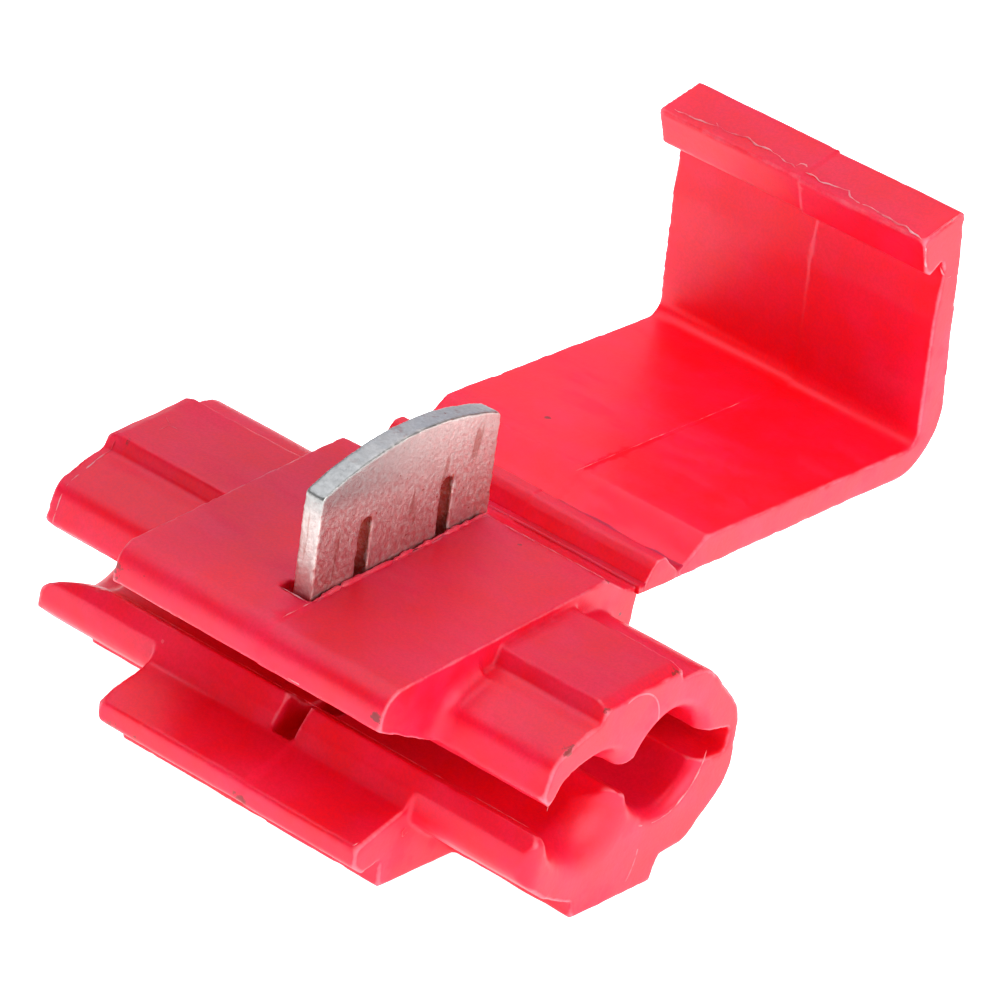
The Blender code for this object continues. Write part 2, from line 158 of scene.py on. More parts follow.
def rounded(corners: Sequence[Corner]) -> list[Point]:
    """A closed outline with a tangent arc at every corner that has a radius.

    Args:
        corners: (y, z, radius) corners in order.

    Returns:
        The outline's points.
    """
    outline: list[Point] = []
    for index, (y, z, radius) in enumerate(corners):
        corner = Vector((y, z))
        if radius == 0:
            outline.append((y, z))
            continue
        before = (Vector(corners[index - 1][:2]) - corner).normalized()
        after = (Vector(corners[(index + 1) % len(corners)][:2]) - corner).normalized()
        half = before.angle(after) / 2
        reach = radius / math.tan(half)
        centre = corner + (before + after).normalized() * radius / math.sin(half)
        first = corner + before * reach - centre
        turn = first.angle_signed(corner + after * reach - centre)
        steps = max(2, round(abs(math.degrees(turn)) / 7))
        for i in range(steps + 1):
            spoke = first.copy()
            spoke.rotate(Matrix.Rotation(-turn * i / steps, 2))
            outline.append(tuple(centre + spoke))
    return outline


def unit(rows: np.ndarray) -> np.ndarray:
    """Each row brought to length one."""
    return rows / np.linalg.norm(rows, axis=1)[:, None]


def linked(name: str, data: bpy.types.ID) -> bpy.types.Object:
    """Put a mesh, light or camera into the scene.

    Args:
        name: name of the object.
        data: what it shows.

    Returns:
        The object.
    """
    made = bpy.data.objects.new(name, data)
    bpy.context.scene.collection.objects.link(made)
    return made


def finished(name: str, body: bmesh.types.BMesh) -> bpy.types.Object:
    """Turn the faces of a drawn mesh outward and put it into the scene.

    Args:
        name: name of the object.
        body: the drawn mesh, which is freed.

    Returns:
        The object.
    """
    bmesh.ops.recalc_face_normals(body, faces=body.faces)
    mesh = bpy.data.meshes.new(name)
    body.to_mesh(mesh)
    body.free()
    return linked(name, mesh)


def skin_rings(body: bmesh.types.BMesh, rings: Sequence[Sequence[Place]]) -> None:
    """Draw a closed tube through a run of rings that have as many points each.

    Args:
        body: mesh that it joins.
        rings: the rings in order.
    """
    loops = [[body.verts.new(place) for place in ring] for ring in rings]
    for before, after in zip(loops, loops[1:]):
        for i, corner in enumerate(before):
            j = (i + 1) % len(before)
            body.faces.new((corner, before[j], after[j], after[i]))
    body.faces.new(loops[0])
    body.faces.new(loops[-1])


def prism(name: str, outline: Sequence[Point], span: Point, turn: Matrix = ALONG_X) -> bpy.types.Object:
    """A closed solid drawn out from an outline.

    Args:
        name: name of the object.
        outline: points of the section.
        span: where it starts and ends along the drawing's normal.
        turn: from the drawing to the row frame.

    Returns:
        The solid.
    """
    body = bmesh.new()
    face = body.faces.new([body.verts.new((x, y, span[0])) for x, y in outline])
    swept = bmesh.ops.extrude_face_region(body, geom=[face])["geom"]
    moved = [item for item in swept if isinstance(item, bmesh.types.BMVert)]
    bmesh.ops.translate(body, verts=moved, vec=(0, 0, span[1] - span[0]))
    bmesh.ops.transform(body, matrix=turn, verts=body.verts)
    return finished(name, body)


def settle(solid: bpy.types.Object) -> None:
    """Apply the object's modifiers to its mesh.

    Args:
        solid: the object.
    """
    bpy.context.view_layer.update()
    done = bpy.data.meshes.new_from_object(solid.evaluated_get(bpy.context.evaluated_depsgraph_get()))
    old = solid.data
    solid.modifiers.clear()
    solid.data = done
    bpy.data.meshes.remove(old)


def combine(target: bpy.types.Object, steps: Sequence[tuple[bpy.types.Object, Cut]]) -> None:
    """Join solids to the target or cut them away, then drop them.

    Args:
        target: solid that changes.
        steps: each other solid and what it does.
    """
    for other, cut in steps:
        step = target.modifiers.new(other.name, "BOOLEAN")
        step.operation = cut.value
        step.solver = "EXACT"
        step.object = other
    settle(target)
    for other, _ in steps:
        bpy.data.objects.remove(other)


class Waves:
    """Smooth seeded unevenness over space, made of plane waves in many directions."""

    def __init__(self, seed: int, shortest: float, longest: float, count: int = 28) -> None:
        """Choose the waves.

        Args:
            seed: makes the pattern the same in each run.
            shortest: shortest wavelength in millimetres.
            longest: longest wavelength in millimetres.
            count: number of waves.
        """
        pick = np.random.default_rng(seed)
        ways = unit(pick.normal(size=(count, 3)))
        lengths = np.exp(pick.uniform(math.log(shortest), math.log(longest), count))
        self.turns = ways * (2 * math.pi / lengths)[:, None]
        self.phases = pick.uniform(0, 2 * math.pi, count)
        self.weights = np.sqrt(lengths / lengths.mean()) * math.sqrt(2 / count)

    def at(self, points: np.ndarray) -> np.ndarray:
        """Height of the pattern at some points.

        Args:
            points: one point a row.

        Returns:
            A height for each, mostly between -1 and 1.
        """
        total = np.zeros(len(points))
        for turn, phase, weight in zip(self.turns, self.phases, self.weights):
            total += weight * np.sin(points @ turn + phase)
        return total


class Skin:
    """The vertices of a mesh as arrays, for shaping them all at once."""

    def __init__(self, mesh: bpy.types.Mesh) -> None:
        """Read the mesh's points and edges.

        Args:
            mesh: the mesh.
        """
        self.mesh = mesh
        count = len(mesh.vertices)
        self.points = np.empty(count * 3)
        mesh.vertices.foreach_get("co", self.points)
        self.points = self.points.reshape(-1, 3)
        self.edges = np.empty(len(mesh.edges) * 2, np.int64)
        mesh.edges.foreach_get("vertices", self.edges)
        self.edges = self.edges.reshape(-1, 2)
        self.degree = np.bincount(self.edges.ravel(), minlength=count).clip(1)

    def normals(self) -> np.ndarray:
        """Normals of the vertices, as the mesh last stored them.

        Returns:
            One normal a row.
        """
        flat = np.empty(len(self.points) * 3)
        self.mesh.vertices.foreach_get("normal", flat)
        return flat.reshape(-1, 3)

    def averaged(self, values: np.ndarray) -> np.ndarray:
        """The mean of each vertex's neighbours.

        Args:
            values: one number or one row of three a vertex.

        Returns:
            The means, in the same form.
        """
        first, second = self.edges[:, 0], self.edges[:, 1]
        columns = []
        for column in np.atleast_2d(values.T):
            ahead = np.bincount(first, column[second], len(column))
            back = np.bincount(second, column[first], len(column))
            columns.append((ahead + back) / self.degree)
        return columns[0] if values.ndim == 1 else np.stack(columns, 1)

    def relaxed(self, rounds: int, strength: float = 0.5) -> np.ndarray:
        """Points after some rounds of moving towards the neighbours' mean.

        Args:
            rounds: how many.
            strength: share of the way that each round goes.

        Returns:
            The points.
        """
        points = self.points
        for _ in range(rounds):
            points = points + strength * (self.averaged(points) - points)
        return points

    def bend(self, rounds: int) -> np.ndarray:
        """How far each vertex stands proud of its relaxed neighbourhood.

        Args:
            rounds: how many rounds it is relaxed.

        Returns:
            A height for each, above zero on outer edges.
        """
        away = self.points - self.relaxed(rounds, 0.7)
        return np.einsum("ij,ij->i", away, self.normals())

    def store(self) -> None:
        """Write the points back to the mesh."""
        self.mesh.vertices.foreach_set("co", self.points.astype(np.float32).ravel())
        self.mesh.update()

    def note(self, name: str, values: np.ndarray) -> None:
        """Keep one value a vertex under a name that materials can read."""
        layer = self.mesh.attributes.get(name) or self.mesh.attributes.new(name, "FLOAT", "POINT")
        layer.data.foreach_set("value", values.astype(np.float32))

    def keep_inside(self, node: str) -> None:
        """Bring every point inside the box of a plain solid, and write the points back.

        Args:
            node: the plain solid.
        """
        low, high = (np.array(corner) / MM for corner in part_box(node))
        self.points = np.clip(self.points, low, high)
        self.store()

    def shade_smooth(self) -> None:
        """Shade all faces of the mesh smoothly."""
        self.mesh.polygons.foreach_set("use_smooth", np.ones(len(self.mesh.polygons), bool))


@dataclass(frozen=True)
class Softening:
    """How a sharp solid becomes a moulding with soft, slightly uneven edges."""

    voxel: float = 0.065
    rounds: int = 2
    most_triangles: int = 190_000
    unevenness: float = 0.007
    nicks: float = 0.030
    crawl: float = 0.006
    least_bend: float = 0.10
    bend_range: float = 0.45
    split_step: Place = (0.0, 0.0, 0.0)
    seed: int = 1

    def apply(self, solid: bpy.types.Object, node: str) -> None:
        """Remesh the solid finely, soften it, step it at the mould split, and keep its edge measures.

        Args:
            solid: the sharp solid, in millimetres.
            node: the plain solid whose box it must stay in.
        """
        voxel = self.voxel * 1.0
        step = solid.modifiers.new("fine", "REMESH")
        step.mode = "VOXEL"
        step.voxel_size = voxel
        settle(solid)
        skin = Skin(solid.data)
        skin.points = skin.relaxed(self.rounds)
        skin.store()
        bend = skin.averaged(skin.bend(8)) / voxel
        out = self.wobble(skin.points, bend)
        near = skin.points[:, 0] > SIZES.split_x
        skin.points += skin.normals() * out[:, None]
        skin.points[near] += np.array(self.split_step)
        skin.store()
        for name, proud in (("edge", bend), ("hollow", -bend)):
            skin.note(name, np.clip((proud - self.least_bend) / self.bend_range, 0, 1))
        triangles = 2 * len(solid.data.polygons)
        if triangles > self.most_triangles:
            step = solid.modifiers.new("fewer", "DECIMATE")
            step.ratio = self.most_triangles / triangles
            settle(solid)
        skin = Skin(solid.data)
        skin.keep_inside(node)
        skin.shade_smooth()
        LOG.info("%s: %d faces", solid.name, len(solid.data.polygons))

    def wobble(self, points: np.ndarray, bend: np.ndarray) -> np.ndarray:
        """How far each point moves along its normal: slow unevenness, and small dents along outer edges.

        Args:
            points: one point a row.
            bend: how proud each stands.

        Returns:
            A distance for each.
        """
        slow = Waves(self.seed, 1.6, 6.0).at(points) * self.unevenness
        quick = Waves(self.seed + 50, 0.35, 1.6, 40).at(points)
        outer = np.clip(bend / 0.5, 0, 1)
        crawl = Waves(self.seed + 90, 0.5, 1.4, 30).at(points) * outer * self.crawl
        return slow - np.clip(quick - 1.0, 0, 1) * outer * self.nicks + crawl


class Value:
    """A number, colour or place that nodes work out, and that joins others by plain arithmetic."""

    def __init__(self, sheet: "NodeSheet", socket: bpy.types.NodeSocket) -> None:
        """Hold the socket that gives it."""
        self.sheet = sheet
        self.socket = socket

    def __add__(self, other: "Value | float") -> "Value":
        """The sum of the two."""
        return self.sheet.math("ADD", self, other)

    def __sub__(self, other: "Value | float") -> "Value":
        """The difference of the two."""
        return self.sheet.math("SUBTRACT", self, other)

    def __mul__(self, other: "Value | float") -> "Value":
        """The product of the two."""
        return self.sheet.math("MULTIPLY", self, other)

    def __truediv__(self, other: "Value | float") -> "Value":
        """The one divided by the other."""
        return self.sheet.math("DIVIDE", self, other)

    def ramp(self, low: float, high: float, start: float = 0.0, end: float = 1.0) -> "Value":
        """A smooth change while this value rises.

        Args:
            low: value at which the change starts.
            high: value at which it ends.
            start: result up to the low value.
            end: result from the high value on.

        Returns:
            The result.
        """
        node = self.sheet.add("MapRange", interpolation_type="SMOOTHSTEP")
        for socket, given in zip(node.inputs, (self, low, high, start, end)):
            self.sheet.put(given, socket)
        return Value(self.sheet, node.outputs[0])


class NodeSheet:
    """Places and links nodes in one tree."""

    def __init__(self, tree: bpy.types.NodeTree) -> None:
        """Start on the tree."""
        self.tree = tree

    def add(self, kind: str, **settings: object) -> bpy.types.Node:
        """Place a node.

        Args:
            kind: type of the node, without ShaderNode in front.
            settings: attributes of the node.

        Returns:
            The node.
        """
        node = self.tree.nodes.new(kind if kind.startswith("NodeGroup") else "ShaderNode" + kind)
        for name, value in settings.items():
            setattr(node, name, value)
        return node

    def put(self, value: object, socket: bpy.types.NodeSocket) -> None:
        """Link a worked-out value to an input, or set a plain one there.

        Args:
            value: a Value, a number, a place or a colour of three parts.
            socket: the input.
        """
        if isinstance(value, Value):
            self.tree.links.new(value.socket, socket)
        else:
            socket.default_value = (*value, 1.0) if socket.type == "RGBA" else value

    def math(self, operation: str, *values: Value | float) -> Value:
        """The result of one step of arithmetic.

        Args:
            operation: name of the step.
            values: the one or two numbers that it takes.

        Returns:
            The result.
        """
        node = self.add("Math", operation=operation)
        for value, socket in zip(values, node.inputs):
            self.put(value, socket)
        return Value(self, node.outputs[0])

    def vector(self, operation: str, first: Value, second: Value | Place) -> Value:
        """The result of one step with two places.

        Args:
            operation: name of the step.
            first: the first place.
            second: the second place, or three factors.

        Returns:
            The place that results, or the length where the step is DISTANCE.
        """
        node = self.add("VectorMath", operation=operation)
        self.put(first, node.inputs[0])
        self.put(second, node.inputs[1])
        return Value(self, node.outputs["Value" if operation == "DISTANCE" else "Vector"])

    def parts(self, whole: Value, kind: str = "SeparateXYZ") -> list[Value]:
        """The three numbers of a place or a colour.

        Args:
            whole: the place or colour.
            kind: the node that takes it apart.

        Returns:
            The numbers.
        """
        node = self.add(kind)
        self.put(whole, node.inputs[0])
        return [Value(self, socket) for socket in node.outputs]

    def mix(self, share: Value | float, under: Value | Colour, over: Value | Colour) -> Value:
        """A colour between two.

        Args:
            share: how much of the second, from 0 to 1.
            under: the first colour.
            over: the second colour.

        Returns:
            The mixed colour.
        """
        node = self.add("Mix", data_type="RGBA")
        colour_inputs = [socket for socket in node.inputs if socket.type == "RGBA"]
        for value, socket in zip((share, under, over), (node.inputs[0], *colour_inputs)):
            self.put(value, socket)
        return Value(self, next(socket for socket in node.outputs if socket.type == "RGBA"))

    def layered(self, colour: Value, *coats: tuple[Value, Colour]) -> Value:
        """A colour under several coats.

        Args:
            colour: the colour at the bottom.
            coats: share and colour of each coat, from the bottom up.

        Returns:
            The colour that shows.
        """
        for share, tint in coats:
            colour = self.mix(share, colour, tint)
        return colour

    def noise(self, place: Value, scale: Value | float, detail: float, rough: float) -> Value:
        """Noise at a place.

        Args:
            place: where.
            scale: how fine it is.
            detail: how many finer layers it has.
            rough: how strong the finer layers are.

        Returns:
            A number from 0 to 1.
        """
        node = self.add("TexNoise")
        given = {"Vector": place, "Scale": scale, "Detail": detail, "Roughness": rough}
        for label, value in given.items():
            self.put(value, node.inputs[label])
        return Value(self, node.outputs["Fac"])


class FinishSheet(NodeSheet):
    """The nodes of one finish, round its one shader."""

    def __init__(self, name: str) -> None:
        """Make the material, with its shader and the place on the piece in millimetres.

        Args:
            name: the material's name.
        """
        self.made = bpy.data.materials.new(name)
        self.made.use_nodes = True
        super().__init__(self.made.node_tree)
        self.shader = self.tree.nodes["Principled BSDF"]
        metres = Value(self, self.add("TexCoord").outputs["Object"])
        self.place = self.vector("MULTIPLY", metres, (1 / MM, 1 / MM, 1 / MM))

    def measure(self, name: str) -> Value:
        """A value that a piece keeps at each vertex."""
        return Value(self, self.add("Attribute", attribute_name=name).outputs["Fac"])

    def shade(self, **inputs: object) -> None:
        """Give the shader its inputs, named with underscores for spaces."""
        for label, value in inputs.items():
            self.put(value, self.shader.inputs[label.replace("_", " ")])

    def emboss(self, height: Value, strength: float, depth: float) -> None:
        """Raise the surface by a height map.

        Args:
            height: the map.
            strength: how much of it shows.
            depth: how high it stands, in millimetres.
        """
        bump = self.add("Bump")
        for label, value in {"Height": height, "Strength": strength, "Distance": depth * MM}.items():
            self.put(value, bump.inputs[label])
        self.shade(Normal=Value(self, bump.outputs[0]))


class Effect:
    """A node group with named inputs and outputs that several finishes share."""

    name: str = "effect"
    inputs: dict[str, float] = {}
    outputs: tuple[str, ...] = ()

    def __init__(self) -> None:
        """Make the group once, with its place in millimetres and its values."""
        self.group = bpy.data.node_groups.new(self.name, "ShaderNodeTree")
        sockets = self.group.interface
        place = sockets.new_socket("Place", in_out="INPUT", socket_type="NodeSocketVector")
        place.description = "Place on the piece in millimetres"
        for label, value in self.inputs.items():
            socket = sockets.new_socket(label, in_out="INPUT", socket_type="NodeSocketFloat")
            socket.default_value = value
        for label in self.outputs:
            sockets.new_socket(label, in_out="OUTPUT", socket_type="NodeSocketFloat")
        sheet = NodeSheet(self.group)
        given = sheet.add("NodeGroupInput").outputs
        made = self.draw(sheet, {socket.name: Value(sheet, socket) for socket in given})
        result = sheet.add("NodeGroupOutput").inputs
        for label in self.outputs:
            sheet.put(made[label], result[label])

    def draw(self, sheet: NodeSheet, given: dict[str, Value]) -> dict[str, Value]:
        """Draw the nodes between the inputs and the outputs.

        Args:
            sheet: where the nodes go.
            given: the place and the group's other inputs, by name.

        Returns:
            A value for each output name.
        """
        raise NotImplementedError

    def use(self, sheet: FinishSheet, **values: Value | float) -> dict[str, Value]:
        """Place the group in a finish.

        Args:
            sheet: the finish's nodes.
            values: inputs that differ from the group's own.

        Returns:
            A value for each output name.
        """
        node = sheet.add("Group", node_tree=self.group)
        for label, value in {"Place": sheet.place, **values}.items():
            sheet.put(value, node.inputs[label])
        return {socket.name: Value(sheet, socket) for socket in node.outputs}


class MouldedGrain(Effect):
    """Fine spark-eroded grain with slow flow marks and a cloudy tone."""

    name = "moulded_grain"
    inputs = {"Fine": 9.0, "Slow": 0.55, "Flow": 0.5}
    outputs = ("Height", "Cloud", "Haze", "Mottle")

    def draw(self, sheet: NodeSheet, given: dict[str, Value]) -> dict[str, Value]:
        """Draw grain, clouds and flow marks.

        Args:
            sheet: where the nodes go.
            given: the place, the scale of the fine and slow noise, and the height of the flow marks.

        Returns:
            The height map and three masks.
        """
        place, fine, slow = given["Place"], given["Fine"], given["Slow"]
        grit = sheet.noise(place, fine, detail=3.0, rough=0.62)
        pits = sheet.noise(place, fine * 0.28, detail=2.0, rough=0.5)
        cloud = sheet.noise(place, slow, detail=4.0, rough=0.6)
        stretched = sheet.vector("MULTIPLY", place, (0.25, 1.0, 1.0))
        flow = sheet.noise(stretched, slow * 2.6, detail=3.0, rough=0.55)
        return {
            "Height": grit * 0.55 + pits * 0.9 + flow * given["Flow"],
            "Cloud": cloud.ramp(0.32, 0.68),
            "Haze": flow.ramp(0.42, 0.66) * cloud.ramp(0.35, 0.65),
            "Mottle": sheet.noise(place, fine * 1.5, detail=2.0, rough=0.7).ramp(0.36, 0.64),
        }


class EdgeWearAndShade(Effect):
    """Pale outer edges and painted shade in hollows, broken up by noise; the pale edges are stress whitening
    on the plastic and a painted highlight on the metal's rims.
    """

    name = "edge_wear_and_shade"
    inputs = {"Edge": 0.0, "Hollow": 0.0, "Break": 1.6, "Start": 0.35}
    outputs = ("Pale", "HollowShade")

    def draw(self, sheet: NodeSheet, given: dict[str, Value]) -> dict[str, Value]:
        """Draw the two masks.

        Args:
            sheet: where the nodes go.
            given: the place, the two edge measures, the noise's scale and where the pale edges start.

        Returns:
            The pale edge mask and the painted shade mask of the hollows.
        """
        broken = sheet.noise(given["Place"], given["Break"], detail=4.0, rough=0.65)
        spots = sheet.noise(given["Place"], given["Break"] * 1.9, detail=3.0, rough=0.6)
        edge = given["Edge"] + (broken - 0.5) * 0.9 - given["Start"]
        return {"Pale": edge.ramp(0.0, 0.6), "HollowShade": given["Hollow"] * spots.ramp(0.45, 0.7)}


class Specks(Effect):
    """Scattered small ragged specks: dark ones from scorched plastic or dust, and light ones."""

    name = "specks"
    inputs = {"Spread": 0.9, "Share": 0.12, "Size": 0.05}
    outputs = ("Dark", "Light")

    def draw(self, sheet: NodeSheet, given: dict[str, Value]) -> dict[str, Value]:
        """Draw cells, and keep the torn middles of a share of them.

        Args:
            sheet: where the nodes go.
            given: the place, how dense the cells are, the share kept and the size of a speck.

        Returns:
            The dark and the light specks.
        """
        torn = sheet.noise(given["Place"], 9.0, detail=3.0, rough=0.7) - 0.5
        masks = []
        for shift in (0.0, 7.3):
            cells = sheet.add("TexVoronoi", feature="F1")
            sheet.put(sheet.vector("ADD", given["Place"], (shift, shift, shift)), cells.inputs["Vector"])
            sheet.put(given["Spread"], cells.inputs["Scale"])
            chance, width, _ = sheet.parts(Value(sheet, cells.outputs["Color"]), "SeparateColor")
            kept = sheet.math("LESS_THAN", chance, given["Share"])
            ragged = Value(sheet, cells.outputs["Distance"]) + torn * 0.10
            masks.append(kept * sheet.math("LESS_THAN", ragged, (width + 0.2) * given["Size"]))
        return dict(zip(self.outputs, masks))


class Stain(Effect):
    """A ragged smear round one place."""

    name = "stain"
    inputs = {"X": 0.0, "Y": 0.0, "Z": 0.0, "Radius": 0.3, "Ragged": 5.0}
    outputs = ("Mask",)

    def draw(self, sheet: NodeSheet, given: dict[str, Value]) -> dict[str, Value]:
        """Draw a ball whose edge is broken by noise.

        Args:
            sheet: where the nodes go.
            given: the place, the smear's middle and radius, and how fine its edge is torn.

        Returns:
            The mask.
        """
        middle = sheet.add("CombineXYZ")
        for label in "XYZ":
            sheet.put(given[label], middle.inputs[label])
        away = sheet.vector("DISTANCE", given["Place"], Value(sheet, middle.outputs[0]))
        torn = sheet.noise(given["Place"], given["Ragged"], detail=4.0, rough=0.7) - 0.5
        return {"Mask": (away / given["Radius"] + torn * 3.0).ramp(0.45, 0.95, 1.0, 0.0)}


class MouldArc(Effect):
    """A thin pale arc that an insert of the mould leaves on the near end face."""

    name = "mould_arc"
    near_face: Point = (9.86, 9.92)
    inputs = {"Y": 0.0, "Z": 0.0, "Radius": 1.0, "Width": 0.035, "Left": 0.0, "Low": 0.0, "High": 9.0}
    outputs = ("Mask",)

    def draw(self, sheet: NodeSheet, given: dict[str, Value]) -> dict[str, Value]:
        """Draw a ring across the wires and keep the part of it that lies between the limits.

        Args:
            sheet: where the nodes go.
            given: the place, the ring's middle, radius and width, and its limits from the middle.

        Returns:
            The mask.
        """
        x, y, z = sheet.parts(given["Place"])
        across, above = y - given["Y"], z - given["Z"]
        from_middle = sheet.math("SQRT", across * across + above * above)
        from_line = sheet.math("ABSOLUTE", from_middle - given["Radius"])
        line = (from_line / given["Width"]).ramp(0.5, 1.1, 1.0, 0.0)
        right = sheet.math("GREATER_THAN", across, given["Left"])
        over = sheet.math("GREATER_THAN", above, given["Low"])
        under = sheet.math("LESS_THAN", above, given["High"])
        kept = right * over * under * x.ramp(*self.near_face)
        broken = sheet.noise(given["Place"], 1.6, detail=3.0, rough=0.6).ramp(0.32, 0.50)
        return {"Mask": line * kept * broken}


class DrawnScratches(Effect):
    """Fine lines left by rolling and stamping, along one direction."""

    name = "drawn_scratches"
    inputs = {"Lines": 6.0, "Pitting": 5.0}
    outputs = ("Lines", "Pits", "Streaks")

    def draw(self, sheet: NodeSheet, given: dict[str, Value]) -> dict[str, Value]:
        """Draw lines, pits and broad streaks.

        Args:
            sheet: where the nodes go.
            given: the place, and the scale of the lines and of the pits.

        Returns:
            The three noises.
        """
        place, lines = given["Place"], given["Lines"]
        long, broad = (sheet.vector("MULTIPLY", place, (1.0, 1.0, squeeze)) for squeeze in (0.09, 0.16))
        return {
            "Lines": sheet.noise(long, lines, detail=4.0, rough=0.7),
            "Pits": sheet.noise(place, given["Pitting"], detail=4.0, rough=0.65),
            "Streaks": sheet.noise(broad, lines * 0.32, detail=3.0, rough=0.6),
        }


@dataclass(frozen=True)
class Effects:
    """The shared effects, each built once."""

    grain: MouldedGrain = field(default_factory=MouldedGrain)
    wear_and_shade: EdgeWearAndShade = field(default_factory=EdgeWearAndShade)
    specks: Specks = field(default_factory=Specks)
    scratches: DrawnScratches = field(default_factory=DrawnScratches)
    arc: MouldArc = field(default_factory=MouldArc)
    stain: Stain = field(default_factory=Stain)


@dataclass(frozen=True)
class Smear:
    """A small smear of dirt: its middle and radius in millimetres."""

    x: float
    y: float
    z: float
    radius: float

    def mask(self, effects: Effects, sheet: FinishSheet) -> Value:
        """Where the smear lies, as a number from 0 to 1."""
        return effects.stain.use(sheet, X=self.x, Y=self.y, Z=self.z, Radius=self.radius)["Mask"]


@dataclass(frozen=True)
class InsertLine:
    """An arc on the near end face: its middle and radius, and its limits from the middle, in millimetres."""

    y: float
    z: float
    radius: float
    left: float
    lowest: float
    highest: float

    def mask(self, effects: Effects, sheet: FinishSheet) -> Value:
        """Where the arc runs, as a number from 0 to 1."""
        limits = {"Left": self.left, "Low": self.lowest, "High": self.highest}
        return effects.arc.use(sheet, Y=self.y, Z=self.z, Radius=self.radius, **limits)["Mask"]


@dataclass(frozen=True)
class MouldedPlastic:
    """Matte, slightly translucent red polypropylene."""

    name: str
    body: Colour = (0.90, 0.003, 0.013)
    cloudy: Colour = (0.88, 0.008, 0.055)
    deep: Colour = (0.70, 0.004, 0.030)
    pale: Colour = (0.94, 0.30, 0.36)
    # dirt_and_shade: colour of the real smears and dark specks, and of the painted shade in hollows
    dirt_and_shade: Colour = (0.20, 0.030, 0.016)
    sheen: Colour = (1.0, 0.76, 0.98)
    rough: float = 0.40
    haze_rough: float = 0.54
    mottle_share: float = 0.42
    edge_share: float = 0.45
    # hollow_shade_share: how strongly shade is painted into hollows
    hollow_shade_share: float = 0.12
    smear_share: float = 0.85
    line_share: float = 0.42
    dark_speck_share: float = 0.8
    light_speck_share: float = 0.3
    speck_size: float = 0.040
    smears: tuple[Smear, ...] = ()
    insert_lines: tuple[InsertLine, ...] = ()
    grain_height: float = 0.016
    grain_strength: float = 0.55
    refraction: float = 1.49
    glow: float = 0.45
    glow_depth: float = 0.8
    glow_reach: Colour = (1.0, 0.10, 0.12)

    def make(self, effects: Effects) -> bpy.types.Material:
        """Draw the material.

        Args:
            effects: the shared node groups.

        Returns:
            The material.
        """
        sheet = FinishSheet(self.name)
        grain = effects.grain.use(sheet, Fine=7.0, Slow=0.42, Flow=0.6)
        wear_and_shade = effects.wear_and_shade.use(sheet, Edge=sheet.measure("edge"), Hollow=sheet.measure("hollow"))
        specks = effects.specks.use(sheet, Spread=0.8, Share=0.06, Size=self.speck_size)
        colour = sheet.layered(
            sheet.mix(grain["Cloud"], self.body, self.cloudy),
            (grain["Mottle"] * self.mottle_share, self.deep),
            (wear_and_shade["Pale"] * self.edge_share, self.pale),
            # painted shade in hollows
            (wear_and_shade["HollowShade"] * self.hollow_shade_share, self.dirt_and_shade),
            (specks["Dark"] * self.dark_speck_share, self.dirt_and_shade),
            (specks["Light"] * self.light_speck_share, self.pale),
            *((smear.mask(effects, sheet) * self.smear_share, self.dirt_and_shade) for smear in self.smears),
            *((line.mask(effects, sheet) * self.line_share, self.pale) for line in self.insert_lines),
        )
        sheet.shade(Base_Color=colour, Roughness=grain["Haze"].ramp(0.0, 1.0, self.rough, self.haze_rough))
        sheet.shade(IOR=self.refraction, Specular_Tint=self.sheen, Subsurface_Weight=self.glow)
        sheet.shade(Subsurface_Radius=self.glow_reach, Subsurface_Scale=self.glow_depth * MM)
        sheet.emboss(grain["Height"], self.grain_strength, self.grain_height)
        return sheet.made


